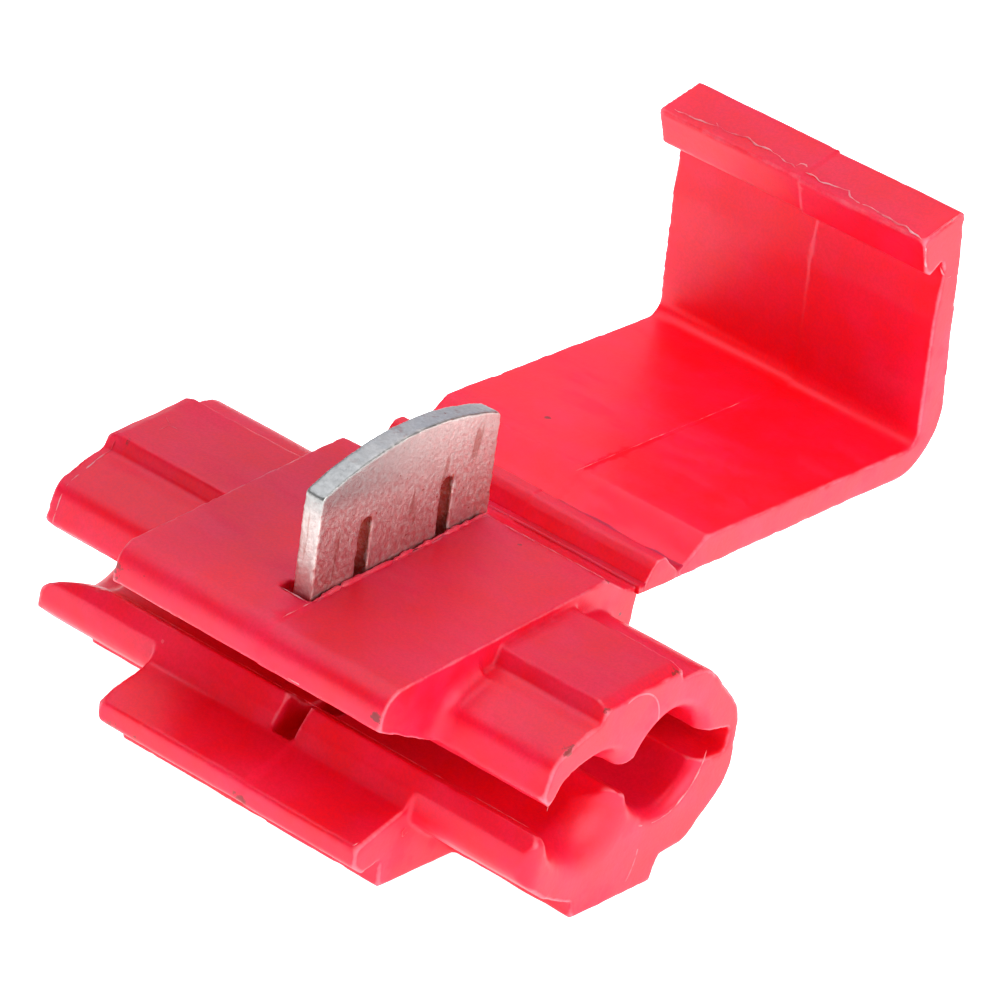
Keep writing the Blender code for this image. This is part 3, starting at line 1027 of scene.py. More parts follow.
@dataclass(frozen=True)
class TinPlate:
    """Dull hot-tinned metal with drawn lines, pits and warm streaks, with painted highlights on its rims,
    painted shade over the left of its crown and painted shade in its wire slots.
    """

    name: str = "tinned_blade_metal"
    bright: Colour = (0.80, 0.74, 0.70)
    dull: Colour = (0.50, 0.43, 0.41)
    stain: Colour = (0.34, 0.09, 0.06)
    # rim_highlight: painted highlight along the blade's rounded rims
    rim_highlight: Colour = (0.94, 0.90, 0.82)
    # crown_shade: painted shade, darker towards the left end of the crown
    crown_shade: Colour = (0.36, 0.37, 0.36)
    # slot_shade: painted shade, with a painted red reflection, inside the wire slots
    slot_shade: Colour = (0.52, 0.24, 0.16)
    rough: float = 0.36
    dull_rough: float = 0.56
    frost_share: float = 0.55
    streak_share: float = 0.55
    speck_share: float = 0.75
    rim_highlight_share: float = 0.60
    crown_shade_share: float = 0.85
    relief: float = 0.024
    relief_strength: float = 0.6
    crown_shade_y: Point = (-5.2, 0.4)
    crown_shade_z: Point = (9.9, 10.9)

    def make(self, effects: Effects) -> bpy.types.Material:
        """Draw the material.

        Args:
            effects: the shared node groups.

        Returns:
            The material.
        """
        sheet = FinishSheet(self.name)
        marks = effects.scratches.use(sheet, Lines=5.0, Pitting=6.0)
        specks = effects.specks.use(sheet, Spread=2.4, Share=0.22, Size=0.10)
        # the pale edge mask starts early here, for the painted rim highlight
        wear_and_shade = effects.wear_and_shade.use(
            sheet, Edge=sheet.measure("edge"), Hollow=sheet.measure("hollow"), Start=0.25)
        frost = sheet.noise(sheet.place, 9.0, detail=4.0, rough=0.75).ramp(0.42, 0.58)
        # painted shade inside the wire slots, broken up by noise
        slot_shade_grain = sheet.noise(sheet.place, 9.0, detail=4.0, rough=0.7).ramp(0.30, 0.60, 0.45, 1.0)
        _, y, z = sheet.parts(sheet.place)
        # painted shade: darker towards the left end of the crown, near its top
        crown_shade_mask = y.ramp(*self.crown_shade_y, 1.0, 0.0) * z.ramp(*self.crown_shade_z)
        colour = sheet.layered(
            sheet.mix(marks["Lines"].ramp(-0.35, 1.35), self.dull, self.bright),
            (frost * self.frost_share, self.dull),
            (marks["Streaks"].ramp(0.60, 0.68) * self.streak_share, self.stain),
            (specks["Dark"] * self.speck_share, self.stain),
            # painted highlight along the rims, from the pale edge mask
            (wear_and_shade["Pale"] * self.rim_highlight_share, self.rim_highlight),
            (crown_shade_mask * self.crown_shade_share, self.crown_shade),
            (slot_shade_grain * sheet.measure("slot_shade"), self.slot_shade),
        )
        sheet.shade(Base_Color=colour, Metallic=1.0)
        sheet.shade(Roughness=marks["Pits"].ramp(0.35, 0.7, self.rough, self.dull_rough))
        sheet.emboss(marks["Pits"] + marks["Lines"] * 0.25, self.relief_strength, self.relief)
        return sheet.made


@dataclass(frozen=True)
class FlashPlastic:
    """Thin whitened plastic of flash and burrs."""

    name: str = "flash_polypropylene"
    pale: Colour = (0.93, 0.42, 0.45)
    red: Colour = (0.88, 0.02, 0.06)
    brown: Colour = (0.38, 0.10, 0.06)
    rough: float = 0.35
    haze_rough: float = 0.6
    glow: float = 0.3
    glow_depth: float = 0.3
    glow_reach: Colour = (1.0, 0.4, 0.3)
    grain_height: float = 0.010
    grain_strength: float = 0.5

    def make(self, effects: Effects) -> bpy.types.Material:
        """Draw the material.

        Args:
            effects: the shared node groups.

        Returns:
            The material.
        """
        sheet = FinishSheet(self.name)
        grain = effects.grain.use(sheet, Fine=11.0, Slow=1.3, Flow=0.3)
        dark = sheet.noise(sheet.place, 2.2, detail=3.0, rough=0.6).ramp(0.62, 0.70)
        colour = sheet.layered(
            sheet.mix(grain["Cloud"] * sheet.measure("pale"), self.red, self.pale),
            (dark * sheet.measure("brown"), self.brown),
        )
        sheet.shade(Base_Color=colour, Roughness=grain["Haze"].ramp(0.0, 1.0, self.rough, self.haze_rough))
        sheet.shade(Subsurface_Weight=self.glow, Subsurface_Radius=self.glow_reach)
        sheet.shade(Subsurface_Scale=self.glow_depth * MM)
        sheet.emboss(grain["Height"], self.grain_strength, self.grain_height)
        return sheet.made


@dataclass(frozen=True)
class StudioPaper:
    """Plain pale paper that the light fills almost to white."""

    name: str = "studio_paper"
    darker: Colour = (0.93, 0.93, 0.93)
    lighter: Colour = (0.95, 0.95, 0.95)
    glow: float = 1.25

    def make(self) -> bpy.types.Material:
        """Draw the material.

        Returns:
            The material.
        """
        sheet = FinishSheet(self.name)
        fibre = sheet.noise(sheet.place, 0.8, detail=3.0, rough=0.6)
        sheet.shade(Base_Color=sheet.mix(fibre, self.darker, self.lighter), Roughness=0.9)
        sheet.shade(Specular_IOR_Level=0.1, Emission_Color=(1.0, 1.0, 1.0), Emission_Strength=self.glow)
        return sheet.made


@dataclass
class Piece:
    """A built piece: its body, its finish and the plain solids that it stands for."""

    solid: bpy.types.Object
    body: str
    finish: bpy.types.Material
    slot: str
    stands_for: tuple[str, ...] = ()

    def dress(self) -> bpy.types.Object:
        """Bring the piece to metres, give it its finish and set it on its body.

        Returns:
            The finished object.
        """
        self.solid.data.transform(Matrix.Scale(MM, 4))
        self.solid.data.materials.clear()
        self.solid.data.materials.append(self.finish)
        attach(self.solid, self.body)
        if self.stands_for:
            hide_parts(*self.stands_for)
        LOG.info("%s rides on %s", self.solid.name, self.body)
        return self.solid


@dataclass(frozen=True)
class Rib:
    """One thin irregular line of flash: points it runs through, its thickness and how broken it is."""

    points: tuple[Place, ...]
    radius: float = 0.022
    gaps: float = 0.4
    wander: float = 0.015
    brown: float = 0.0
    pale: float = 1.0
    side: Place | None = None
    sides: int = 6

    def centre_line(self) -> np.ndarray:
        """Evenly spaced points along the line.

        Returns:
            The points, about 0.08 mm apart.
        """
        stops = np.array(self.points)
        lengths = np.linalg.norm(np.diff(stops, axis=0), axis=1)
        along = np.concatenate([[0.0], np.cumsum(lengths)])
        count = max(4, int(along[-1] / (0.08)))
        at = np.linspace(0.0, along[-1], count)
        return np.stack([np.interp(at, along, stops[:, i]) for i in range(3)], 1)

    def draw(self, body: bmesh.types.BMesh, seed: int) -> int:
        """Add the line to the mesh as a tube of uneven thickness.

        Args:
            body: mesh that it joins.
            seed: makes its unevenness the same in each run.

        Returns:
            The number of vertices added.
        """
        line = self.centre_line()
        breaks = Waves(seed, 0.5, 3.0).at(line)
        fine = Waves(seed + 1, 0.18, 0.5).at(line)
        wide = np.clip(1.0 + 0.28 * fine - self.gaps * np.clip(breaks + 0.3, 0, 2), 0.10, 1.4)
        from_end = np.minimum(np.arange(len(line)), np.arange(len(line))[::-1])
        wide *= np.clip(from_end / 3, 0.05, 1)
        ahead = unit(np.gradient(line, axis=0))
        across = unit(np.cross(ahead, (0.31, 0.52, 0.79)))
        up = np.cross(ahead, across)
        sideways = across if self.side is None else np.array(self.side)
        line = line + sideways * (Waves(seed + 2, 0.3, 2.0).at(line) * self.wander)[:, None]
        turns = [2 * math.pi * k / self.sides for k in range(self.sides)]
        skin_rings(body, [
            [place + size * (math.cos(t) * one + math.sin(t) * two) for t in turns]
            for place, size, one, two in zip(line, wide * self.radius, across, up)
        ])
        return self.sides * len(line)


@dataclass
class Flash:
    """All the flash and burr lines of one moulding, as one mesh."""

    name: str
    body: str
    slot: str
    ribs: tuple[Rib, ...]
    seed: int = 5

    def build(self, finish: bpy.types.Material) -> Piece:
        """Build the lines in their plastic.

        Args:
            finish: their plastic.

        Returns:
            The piece.
        """
        body = bmesh.new()
        counts = [rib.draw(body, self.seed + 7 * index) for index, rib in enumerate(self.ribs)]
        solid = finished(self.name, body)
        skin = Skin(solid.data)
        skin.keep_inside(self.body)
        skin.note("brown", np.repeat([rib.brown for rib in self.ribs], counts))
        skin.note("pale", np.repeat([rib.pale for rib in self.ribs], counts))
        skin.shade_smooth()
        return Piece(solid, self.body, finish, self.slot)


def along_x(y: float, z: float, low: float, high: float) -> tuple[Place, ...]:
    """A straight line along the wires, from low to high."""
    return ((low, y, z), (high, y, z))


def on_end(x: float, *points: Point) -> tuple[Place, ...]:
    """A line across the wires at one place along them."""
    return tuple((x, y, z) for y, z in points)


@dataclass(frozen=True)
class Flare:
    """How the mouth of a channel widens over a length, leans, and does part of it in a quick first step."""

    length: float
    spread: float
    lean: Point = (0.0, 0.0)
    first: float = 0.0


@dataclass(frozen=True)
class LipFall:
    """How the lower jaw's lip drops over a length, in part by a quick first step, and leans inward."""

    length: float
    drop: float
    first: float = 0.0
    lean: float = 0.0


@dataclass
class Housing:
    """Barrel with its two wire channels, inclined upper block and ledged lower block."""

    sizes: Sizes = SIZES
    far_flare: Flare = Flare(1.85, 0.80, (0.85, -0.60), first=0.27)
    near_flare: Flare = Flare(1.45, 0.80, (0.85, -0.60))
    tap_flare: Flare = Flare(0.80, 0.55)
    far_fall: LipFall = LipFall(3.00, 1.60, first=0.08, lean=math.radians(20))
    near_fall: LipFall = LipFall(0.60, 0.65)
    far_keel_cut: float = 0.50
    jaw_corner: float = 0.75
    platform_s: Point = (-4.96, -1.49)
    platform_h: float = -0.33
    platform_chamfer: Point = (0.42, 0.17)
    cove: Point = (0.60, 0.75)
    blade_clearance: float = 0.08
    slot_depth: float = -5.58
    rim_radius: float = 2.12
    softening: Softening = Softening(split_step=(0.0, 0.02, -0.05), seed=11)

    def barrel(self) -> list[Point]:
        """Section of the barrel: both jaws from outside, then back through both channels.

        Returns:
            The closed outline.
        """
        s = self.sizes
        run, tap, ridge = s.run_centre, s.tap_centre, (s.run_centre[0] + 2.0, s.channel_height)
        back = tap[0] + s.tap_radius + 1.87
        outside = rounded([
            *beside(run, (-1.55, 0.38, 0.08), (-1.96, 0.72, 0.14), (-1.66, 1.95, 0.80), (-0.28, 2.46, 0.40),
                    (0.30, 2.58, 0.20)),
            (*s.on_plate(self.platform_s[0], self.platform_h), 0.12),
            (*s.on_plate(self.platform_s[1], self.platform_h), 0.08),
            (1.08, s.plate_height - 0.92, 0.10), (2.48, s.plate_height - 0.95, 1.60),
            (back + 0.05, s.channel_height + 0.67, 2.10), (back, s.channel_height - 1.68, 1.60),
            *beside((tap[0], 0.0), (1.85, 0.93, 0.90), (0.63, 0.88, 0.20), (0.43, 0.0, 0.12)),
            *beside((run[0], 0.0), (0.75, 0.0, 0.12), (0.67, 0.62, 0.20), (-0.80, 1.22, 0.50)),
            *beside((run[0], s.lip_top), (-2.01, -1.48, 0.55), (-1.91, -0.55, 0.30), (-1.57, 0.0, 0.05),
                    (-1.28, -0.15, 0)),
        ])
        lower = [
            *arc(run, s.run_radius, 216, 330),
            *arc((ridge[0], ridge[1] - 0.56), 0.24, 150, 30),
            *arc(tap, s.tap_radius, 203, 343),
        ]
        dent = ((2.90, -0.58), (3.07, -0.45), (3.10, 0.10), (2.97, 0.26))
        notch = [(tap[0] + y, tap[1] + z) for y, z in dent]
        upper = [
            *arc(tap, s.tap_radius, 18, 148),
            *arc((ridge[0] - 0.03, ridge[1] + 1.00), 0.42, 320, 215),
            *arc(run, s.run_radius, 37, 152),
        ]
        return [*outside, *lower, *notch, *upper]

    def upper_block(self) -> list[Point]:
        """Section of the inclined plate, its rounded front and the rear wall that carries the hinge.

        Returns:
            The closed outline.
        """
        s = self.sizes
        front, rear = s.plate_front, s.block_rear
        return rounded([
            (*s.plate_rear, 0.10), (*front, 0.85), (front[0] - 0.02, front[1] - 1.20, 0.12),
            *beside(s.run_centre, (-1.67, 0.58, 0), (-1.40, 0.97, 0), (-1.05, 1.52, 0), (-0.15, 1.97, 0)),
            (2.90, s.channel_height + 1.87, 0), (rear, s.channel_height + 0.82, 0),
            (rear, s.link_axis[1] - 0.01, 0),
            *beside((rear, s.link_axis[1]), (-0.36, -0.05, 0.20), (-0.76, 0.07, 0.20)),
        ])

    def lower_block(self) -> list[Point]:
        """Section of the sloping shelf with the ledge that the cover's hook catches.

        Returns:
            The closed outline.
        """
        s = self.sizes
        front = (s.plate_front[0] + 0.50, 1.16)
        return rounded([
            *beside(front, (-0.06, 0.68, 0.18), (0.0, 0.0, 0.22), (0.48, -0.36, 0.06), (1.26, -0.11, 0.12)),
            (front[0] + 1.38, 0.0, 0.06), (0.50, 0.0, 0), (0.50, 0.80, 0), (-1.50, 1.30, 0),
            *beside((s.run_centre[0], s.lip_top), (-1.35, -1.40, 0), (-1.50, -0.30, 0), (-1.94, -0.57, 0),
                    (-2.22, -1.08, 0.10)),
        ])

    @staticmethod
    def fall_share(along: float, first: float) -> float:
        """How far a mouth or lip has fallen away on its way to the end.

        Args:
            along: share of its length, from 0 to 1.
            first: share of the fall in its quick first step.

        Returns:
            The share of the whole fall, from 0 to 1.
        """
        quick = first * math.sin(math.pi / 2 * min(1.0, 3 * along))
        return quick + (1 - first) * (1 - math.cos(math.asin(along)))

    def mouth(self, name: str, centre: Point, radius: float, flare: Flare, end: End) -> bpy.types.Object:
        """A flared cutter for one end of a channel.

        Args:
            name: name of the cutter.
            centre: the channel's (y, z).
            radius: its radius before the flare.
            flare: how it widens.
            end: which end of the barrel.

        Returns:
            The cutter.
        """
        shares = [math.sin(math.radians(6 * i)) for i in range(16)]
        steps = [(flare.length * share, self.fall_share(share, flare.first)) for share in shares]
        rings = []
        for along, share in [*steps, (flare.length + 1.0, 1.0)]:
            middle = (centre[0] + flare.lean[0] * share, centre[1] + flare.lean[1] * share)
            x = end.value * (self.sizes.barrel_half - flare.length + along)
            rings.append(on_end(x, *arc(middle, radius + flare.spread * share, 0, 355)))
        body = bmesh.new()
        skin_rings(body, rings)
        return finished(name, body)

    def lip_fall(self, fall: LipFall, end: End) -> bpy.types.Object:
        """A cutter that lets the lower jaw's lip fall away towards one end.

        Args:
            fall: how it falls.
            end: which end of the barrel.

        Returns:
            The cutter.
        """
        s, side = self.sizes, end.value
        top, above = s.lip_top + 0.06, s.channel_height - 0.1
        shares = [i / 20 for i in range(21)]
        curve = [(side * (s.barrel_half - fall.length * (1 - share)),
                  top - fall.drop * self.fall_share(share, fall.first)) for share in shares]
        beyond, inward = side * (s.barrel_half + 0.5), side * (s.barrel_half - fall.length - 0.2)
        outline = [*curve, (beyond, top - fall.drop), (beyond, above), (inward, above), (inward, top)]
        lip = Matrix.Translation((0, s.run_centre[0] - 1.57, s.lip_top))
        turn = lip @ Matrix.Rotation(-fall.lean, 4, "X") @ lip.inverted() @ ALONG_Y
        return prism("lip_fall", outline, (-s.run_centre[0] + 0.15, -s.run_centre[0] + 2.55), turn)

    def jaw_corner_cutter(self, end: End) -> bpy.types.Object:
        """A cutter that rounds the lower jaw's front corner, seen from above.

        Args:
            end: which end of the barrel.

        Returns:
            The cutter.
        """
        s, side = self.sizes, end.value
        front = s.run_centre[0] - 2.05
        centre = (side * (s.barrel_half - self.jaw_corner), front + self.jaw_corner)
        sweep = arc(centre, self.jaw_corner, *((0, -90) if end is End.NEAR else (180, 270)))
        beyond = side * (s.barrel_half + 0.5)
        outline = [*sweep, (centre[0], front - 0.5), (beyond, front - 0.5), (beyond, centre[1])]
        return prism("jaw_corner", outline, (0.8, s.channel_height - 0.1), Matrix.Identity(4))

    def platform_end(self, end: End) -> bpy.types.Object:
        """A cutter that bevels the end of the raised platform.

        Args:
            end: which end of the barrel.

        Returns:
            The cutter.
        """
        s, side = self.sizes, end.value
        along, down = self.platform_chamfer
        slope = down / along
        low = (side * (s.barrel_half + 0.4), self.platform_h - down - 0.4 * slope)
        high = (side * (s.barrel_half - along - 0.4), self.platform_h + 0.4 * slope)
        span = (-self.platform_s[1] - 0.15, -self.platform_s[0] + 0.15)
        return prism("platform_end", [low, high, (low[0], high[1])], span, s.along_plate())

    def keel_cut(self) -> bpy.types.Object:
        """A cutter that shortens the keel at the far end.

        Returns:
            The cutter.
        """
        s = self.sizes
        start, beyond = -s.barrel_half + self.far_keel_cut, -s.barrel_half - 0.5
        outline = [(start, -0.5), (start, 0.20), (start - 0.20, 0.64), (beyond, 0.64), (beyond, -0.5)]
        return prism("keel_cut", outline, (-s.tap_centre[0] - 1.5, -s.run_centre[0]), ALONG_Y)

    def cove_fillet(self, end: End) -> bpy.types.Object:
        """The hollow fillet between one side of the upper block and the curved upper jaw.

        Args:
            end: which side of the block.

        Returns:
            The fillet, to be joined on.
        """
        s, side = self.sizes, end.value
        wide, rise = self.cove
        jaw = beside(s.run_centre, (-1.94, 0.78, 0), (-1.64, 1.93, 0.80), (-0.28, 2.44, 0))
        path = rounded([*jaw, (-9, 9, 0)])[:-1]
        angles = [math.radians(10 * i) for i in range(10)]
        hollow = [(side * wide * (1 - math.cos(a)), rise * (1 - math.sin(a))) for a in angles]
        section = [(-0.2 * side, -0.06), (-0.2 * side, rise), *hollow, (side * wide, -0.06)]
        wall = s.upper_x[0] if end is End.FAR else s.upper_x[1]
        rings = []
        for i, (y, z) in enumerate(path):
            ahead = Vector(path[min(i + 1, len(path) - 1)]) - Vector(path[max(i - 1, 0)])
            out = Vector((-ahead.y, ahead.x)).normalized()
            rings.append([(wall + x, y + out.x * h, z + out.y * h) for x, h in section])
        body = bmesh.new()
        skin_rings(body, rings)
        return finished("cove", body)

    def blade_slot(self) -> list[bpy.types.Object]:
        """Cutters of the blade's slot and of the small relief at its front.

        Returns:
            The two cutters.
        """
        s, gap = self.sizes, self.blade_clearance
        (start, end), (left, right) = s.blade_s, s.blade_x
        made = []
        for name, low, high, depth, span in (
                ("blade_slot", start - gap, end + gap, self.slot_depth, (left - gap, right + gap)),
                ("slot_relief", start - 0.19, start + 0.43, -1.2, (left - 0.39, left))):
            corners = ((low, 1.2), (high, 1.2), (high, depth), (low, depth))
            made.append(prism(name, [s.on_plate(*corner) for corner in corners], span))
        return made

    def build(self, finish: bpy.types.Material) -> Piece:
        """Build the whole moulding.

        Args:
            finish: its plastic.

        Returns:
            The piece.
        """
        s = self.sizes
        solid = prism("housing_moulding", self.barrel(), (-s.barrel_half, s.barrel_half))
        combine(solid, [
            (prism("upper_block", self.upper_block(), s.upper_x), Cut.ADD),
            (prism("lower_block", self.lower_block(), s.lower_x), Cut.ADD),
            (self.cove_fillet(End.FAR), Cut.ADD),
            (self.cove_fillet(End.NEAR), Cut.ADD),
        ])
        cuts = self.blade_slot()
        for end, flare, fall in ((End.FAR, self.far_flare, self.far_fall),
                                 (End.NEAR, self.near_flare, self.near_fall)):
            cuts += [
                self.mouth("run_mouth", s.run_centre, s.run_radius - 0.03, flare, end),
                self.mouth("tap_mouth", s.tap_centre, s.tap_radius - 0.08, self.tap_flare, end),
                self.lip_fall(fall, end),
                self.jaw_corner_cutter(end),
                self.platform_end(end),
            ]
        cuts.append(self.keel_cut())
        combine(solid, [(cutter, Cut.TAKE) for cutter in cuts])
        self.softening.apply(solid, "housing")
        return Piece(solid, "housing", finish, "housing_plastic", ("housing",))

    def plastic(self) -> MouldedPlastic:
        """The housing's finish, with the smears and the insert lines that the photograph shows.

        Returns:
            The finish.
        """
        end = self.sizes.barrel_half
        smears = (
            Smear(-9.19, -2.62, 7.38, 0.16), Smear(-4.85, -7.49, 6.45, 0.50), Smear(5.60, -7.78, 6.51, 0.22),
            Smear(-4.3, -7.28, 0.95, 0.40), Smear(-3.3, -7.28, 0.95, 0.35), Smear(0.90, -7.28, 1.15, 0.36),
            Smear(end, -2.55, 7.35, 0.22), Smear(end, 0.72, 7.60, 0.26), Smear(end, -4.14, 6.40, 0.26),
            Smear(5.73, 2.53, 8.10, 0.16), Smear(5.80, 3.44, 6.65, 0.10), Smear(2.75, 1.90, 8.12, 0.08),
        )
        return MouldedPlastic("housing_polypropylene", smears=smears, insert_lines=(
            InsertLine(-1.08, 6.02, 1.27, left=-0.5, lowest=0.0, highest=2.0),
            InsertLine(-1.55, 1.45, 2.13, left=1.0, lowest=-1.05, highest=0.0),
        ))

    def flash(self) -> Flash:
        """Flash, burrs, scratches and the pale mould lines of the housing.

        Returns:
            The lines.
        """
        s = self.sizes
        low, high = s.upper_x
        left, right = s.blade_x
        seat, end = 0.095, 9.96
        front = (s.plate_front[0] + 0.05, s.plate_front[1] - 1.16)
        lip = (s.run_centre[0] - 1.30, s.lip_top - 0.10)
        rear = (s.plate_rear[0] - 0.02, s.plate_rear[1] - 0.01)
        foot = tuple((right + seat, *s.on_plate(a, -0.02)) for a in (-7.95, -6.0, -4.1, -2.6, -0.6, 0.2))
        far_foot = tuple((left - seat, *s.on_plate(a, -0.02)) for a in (-7.4, -4.0, 0.2))
        far_section = list(takewhile(lambda point: point[0] < 0.7, self.barrel()))[2:]
        rim = arc(s.tap_centre, self.rim_radius, -118, -8)
        star = (-8.96, -0.91, 7.560)
        tips = ((-9.36, -0.65, 7.580), (-9.00, -1.43, 7.518), (-8.66, -0.89, 7.562))
        scratch = ((0.98, -5.63, 7.512), (1.00, -6.60, 7.435), (1.00, -7.00, 7.40))
        scrape = ((-0.21, -5.72, 7.505), (0.92, -5.74, 7.505))
        ledge_burr = ((4.95, -7.27, 1.30), (5.05, -7.27, 1.60), (5.38, -7.16, 1.98))
        shelf_curl = on_end(5.46, (-4.89, 1.62), (-5.10, 1.48), (-5.22, 1.66), (-5.05, 1.84))
        return Flash("housing_flash", "housing", "housing_plastic", (
            Rib(along_x(*front, low + 0.1, high - 0.1), 0.028, 0.35, 0.012, brown=1.0),
            Rib(along_x(*lip, -7.0, 9.3), 0.018, 0.6, 0.012, brown=0.3, pale=0.4),
            Rib(foot, 0.080, 0.35, 0.010, pale=0.12),
            Rib(far_foot, 0.080, 0.35, 0.010, pale=0.12),
            Rib(along_x(*rear, right + 0.2, high - 0.1), 0.020, 0.4),
            Rib(on_end(-9.64, *far_section), 0.024, 0.35, 0.010),
            Rib(on_end(end + 0.01, *rim), 0.026, 0.35, 0.012),
            *(Rib((star, tip), 0.018, 0.1) for tip in tips),
            Rib(scratch, 0.016, 0.3),
            Rib(scrape, 0.020, 0.2),
            Rib(ledge_burr, 0.020, 0.2, 0.02, brown=0.6),
            Rib(shelf_curl, 0.018, 0.2),
            Rib(on_end(end, (-4.60, 4.70), (-4.62, 4.50)), 0.030, 0.0, 0.0, brown=1.0),
        ))


@dataclass
class HingeLink:
    """The ridge between the two grooves of the living hinge."""

    sizes: Sizes = SIZES
    ridge: float = 0.71
    shoulder: float = 0.26
    flank: float = 0.27
    softening: Softening = Softening(voxel=0.05, rounds=3, most_triangles=60_000, nicks=0.02,
                                     split_step=(0.0, 0.0, -0.03), seed=21)

    def outline(self) -> list[Point]:
        """Section of the ridge.

        Returns:
            The closed outline.
        """
        s = self.sizes
        front, rear = s.link_axis[0] + s.web_gap / 2, s.cover_axis[0] - s.web_gap / 2
        top, down = s.link_axis[1] + self.ridge, -self.shoulder
        return rounded([
            (front, s.web_under, 0), (rear, s.web_under + 0.02, 0), (rear, s.cover_axis[1], 0),
            *beside((s.cover_axis[0] - 2 * self.flank, top), (0.0, down, 0.20), (down, 0.0, 0.14)),
            *beside((s.link_axis[0] + self.flank, top), (0.22, 0.0, 0.20), (0.0, down, 0.20)),
            (front, s.link_axis[1] + 0.02, 0),
        ])

    def build(self, finish: bpy.types.Material) -> Piece:
        """Build the ridge in its plastic.

        Args:
            finish: its plastic.

        Returns:
            The piece.
        """
        solid = prism("hinge_ridge", self.outline(), self.sizes.strap_x)
        self.softening.apply(solid, "hinge_link")
        return Piece(solid, "hinge_link", finish, "link_plastic", ("hinge_link",))


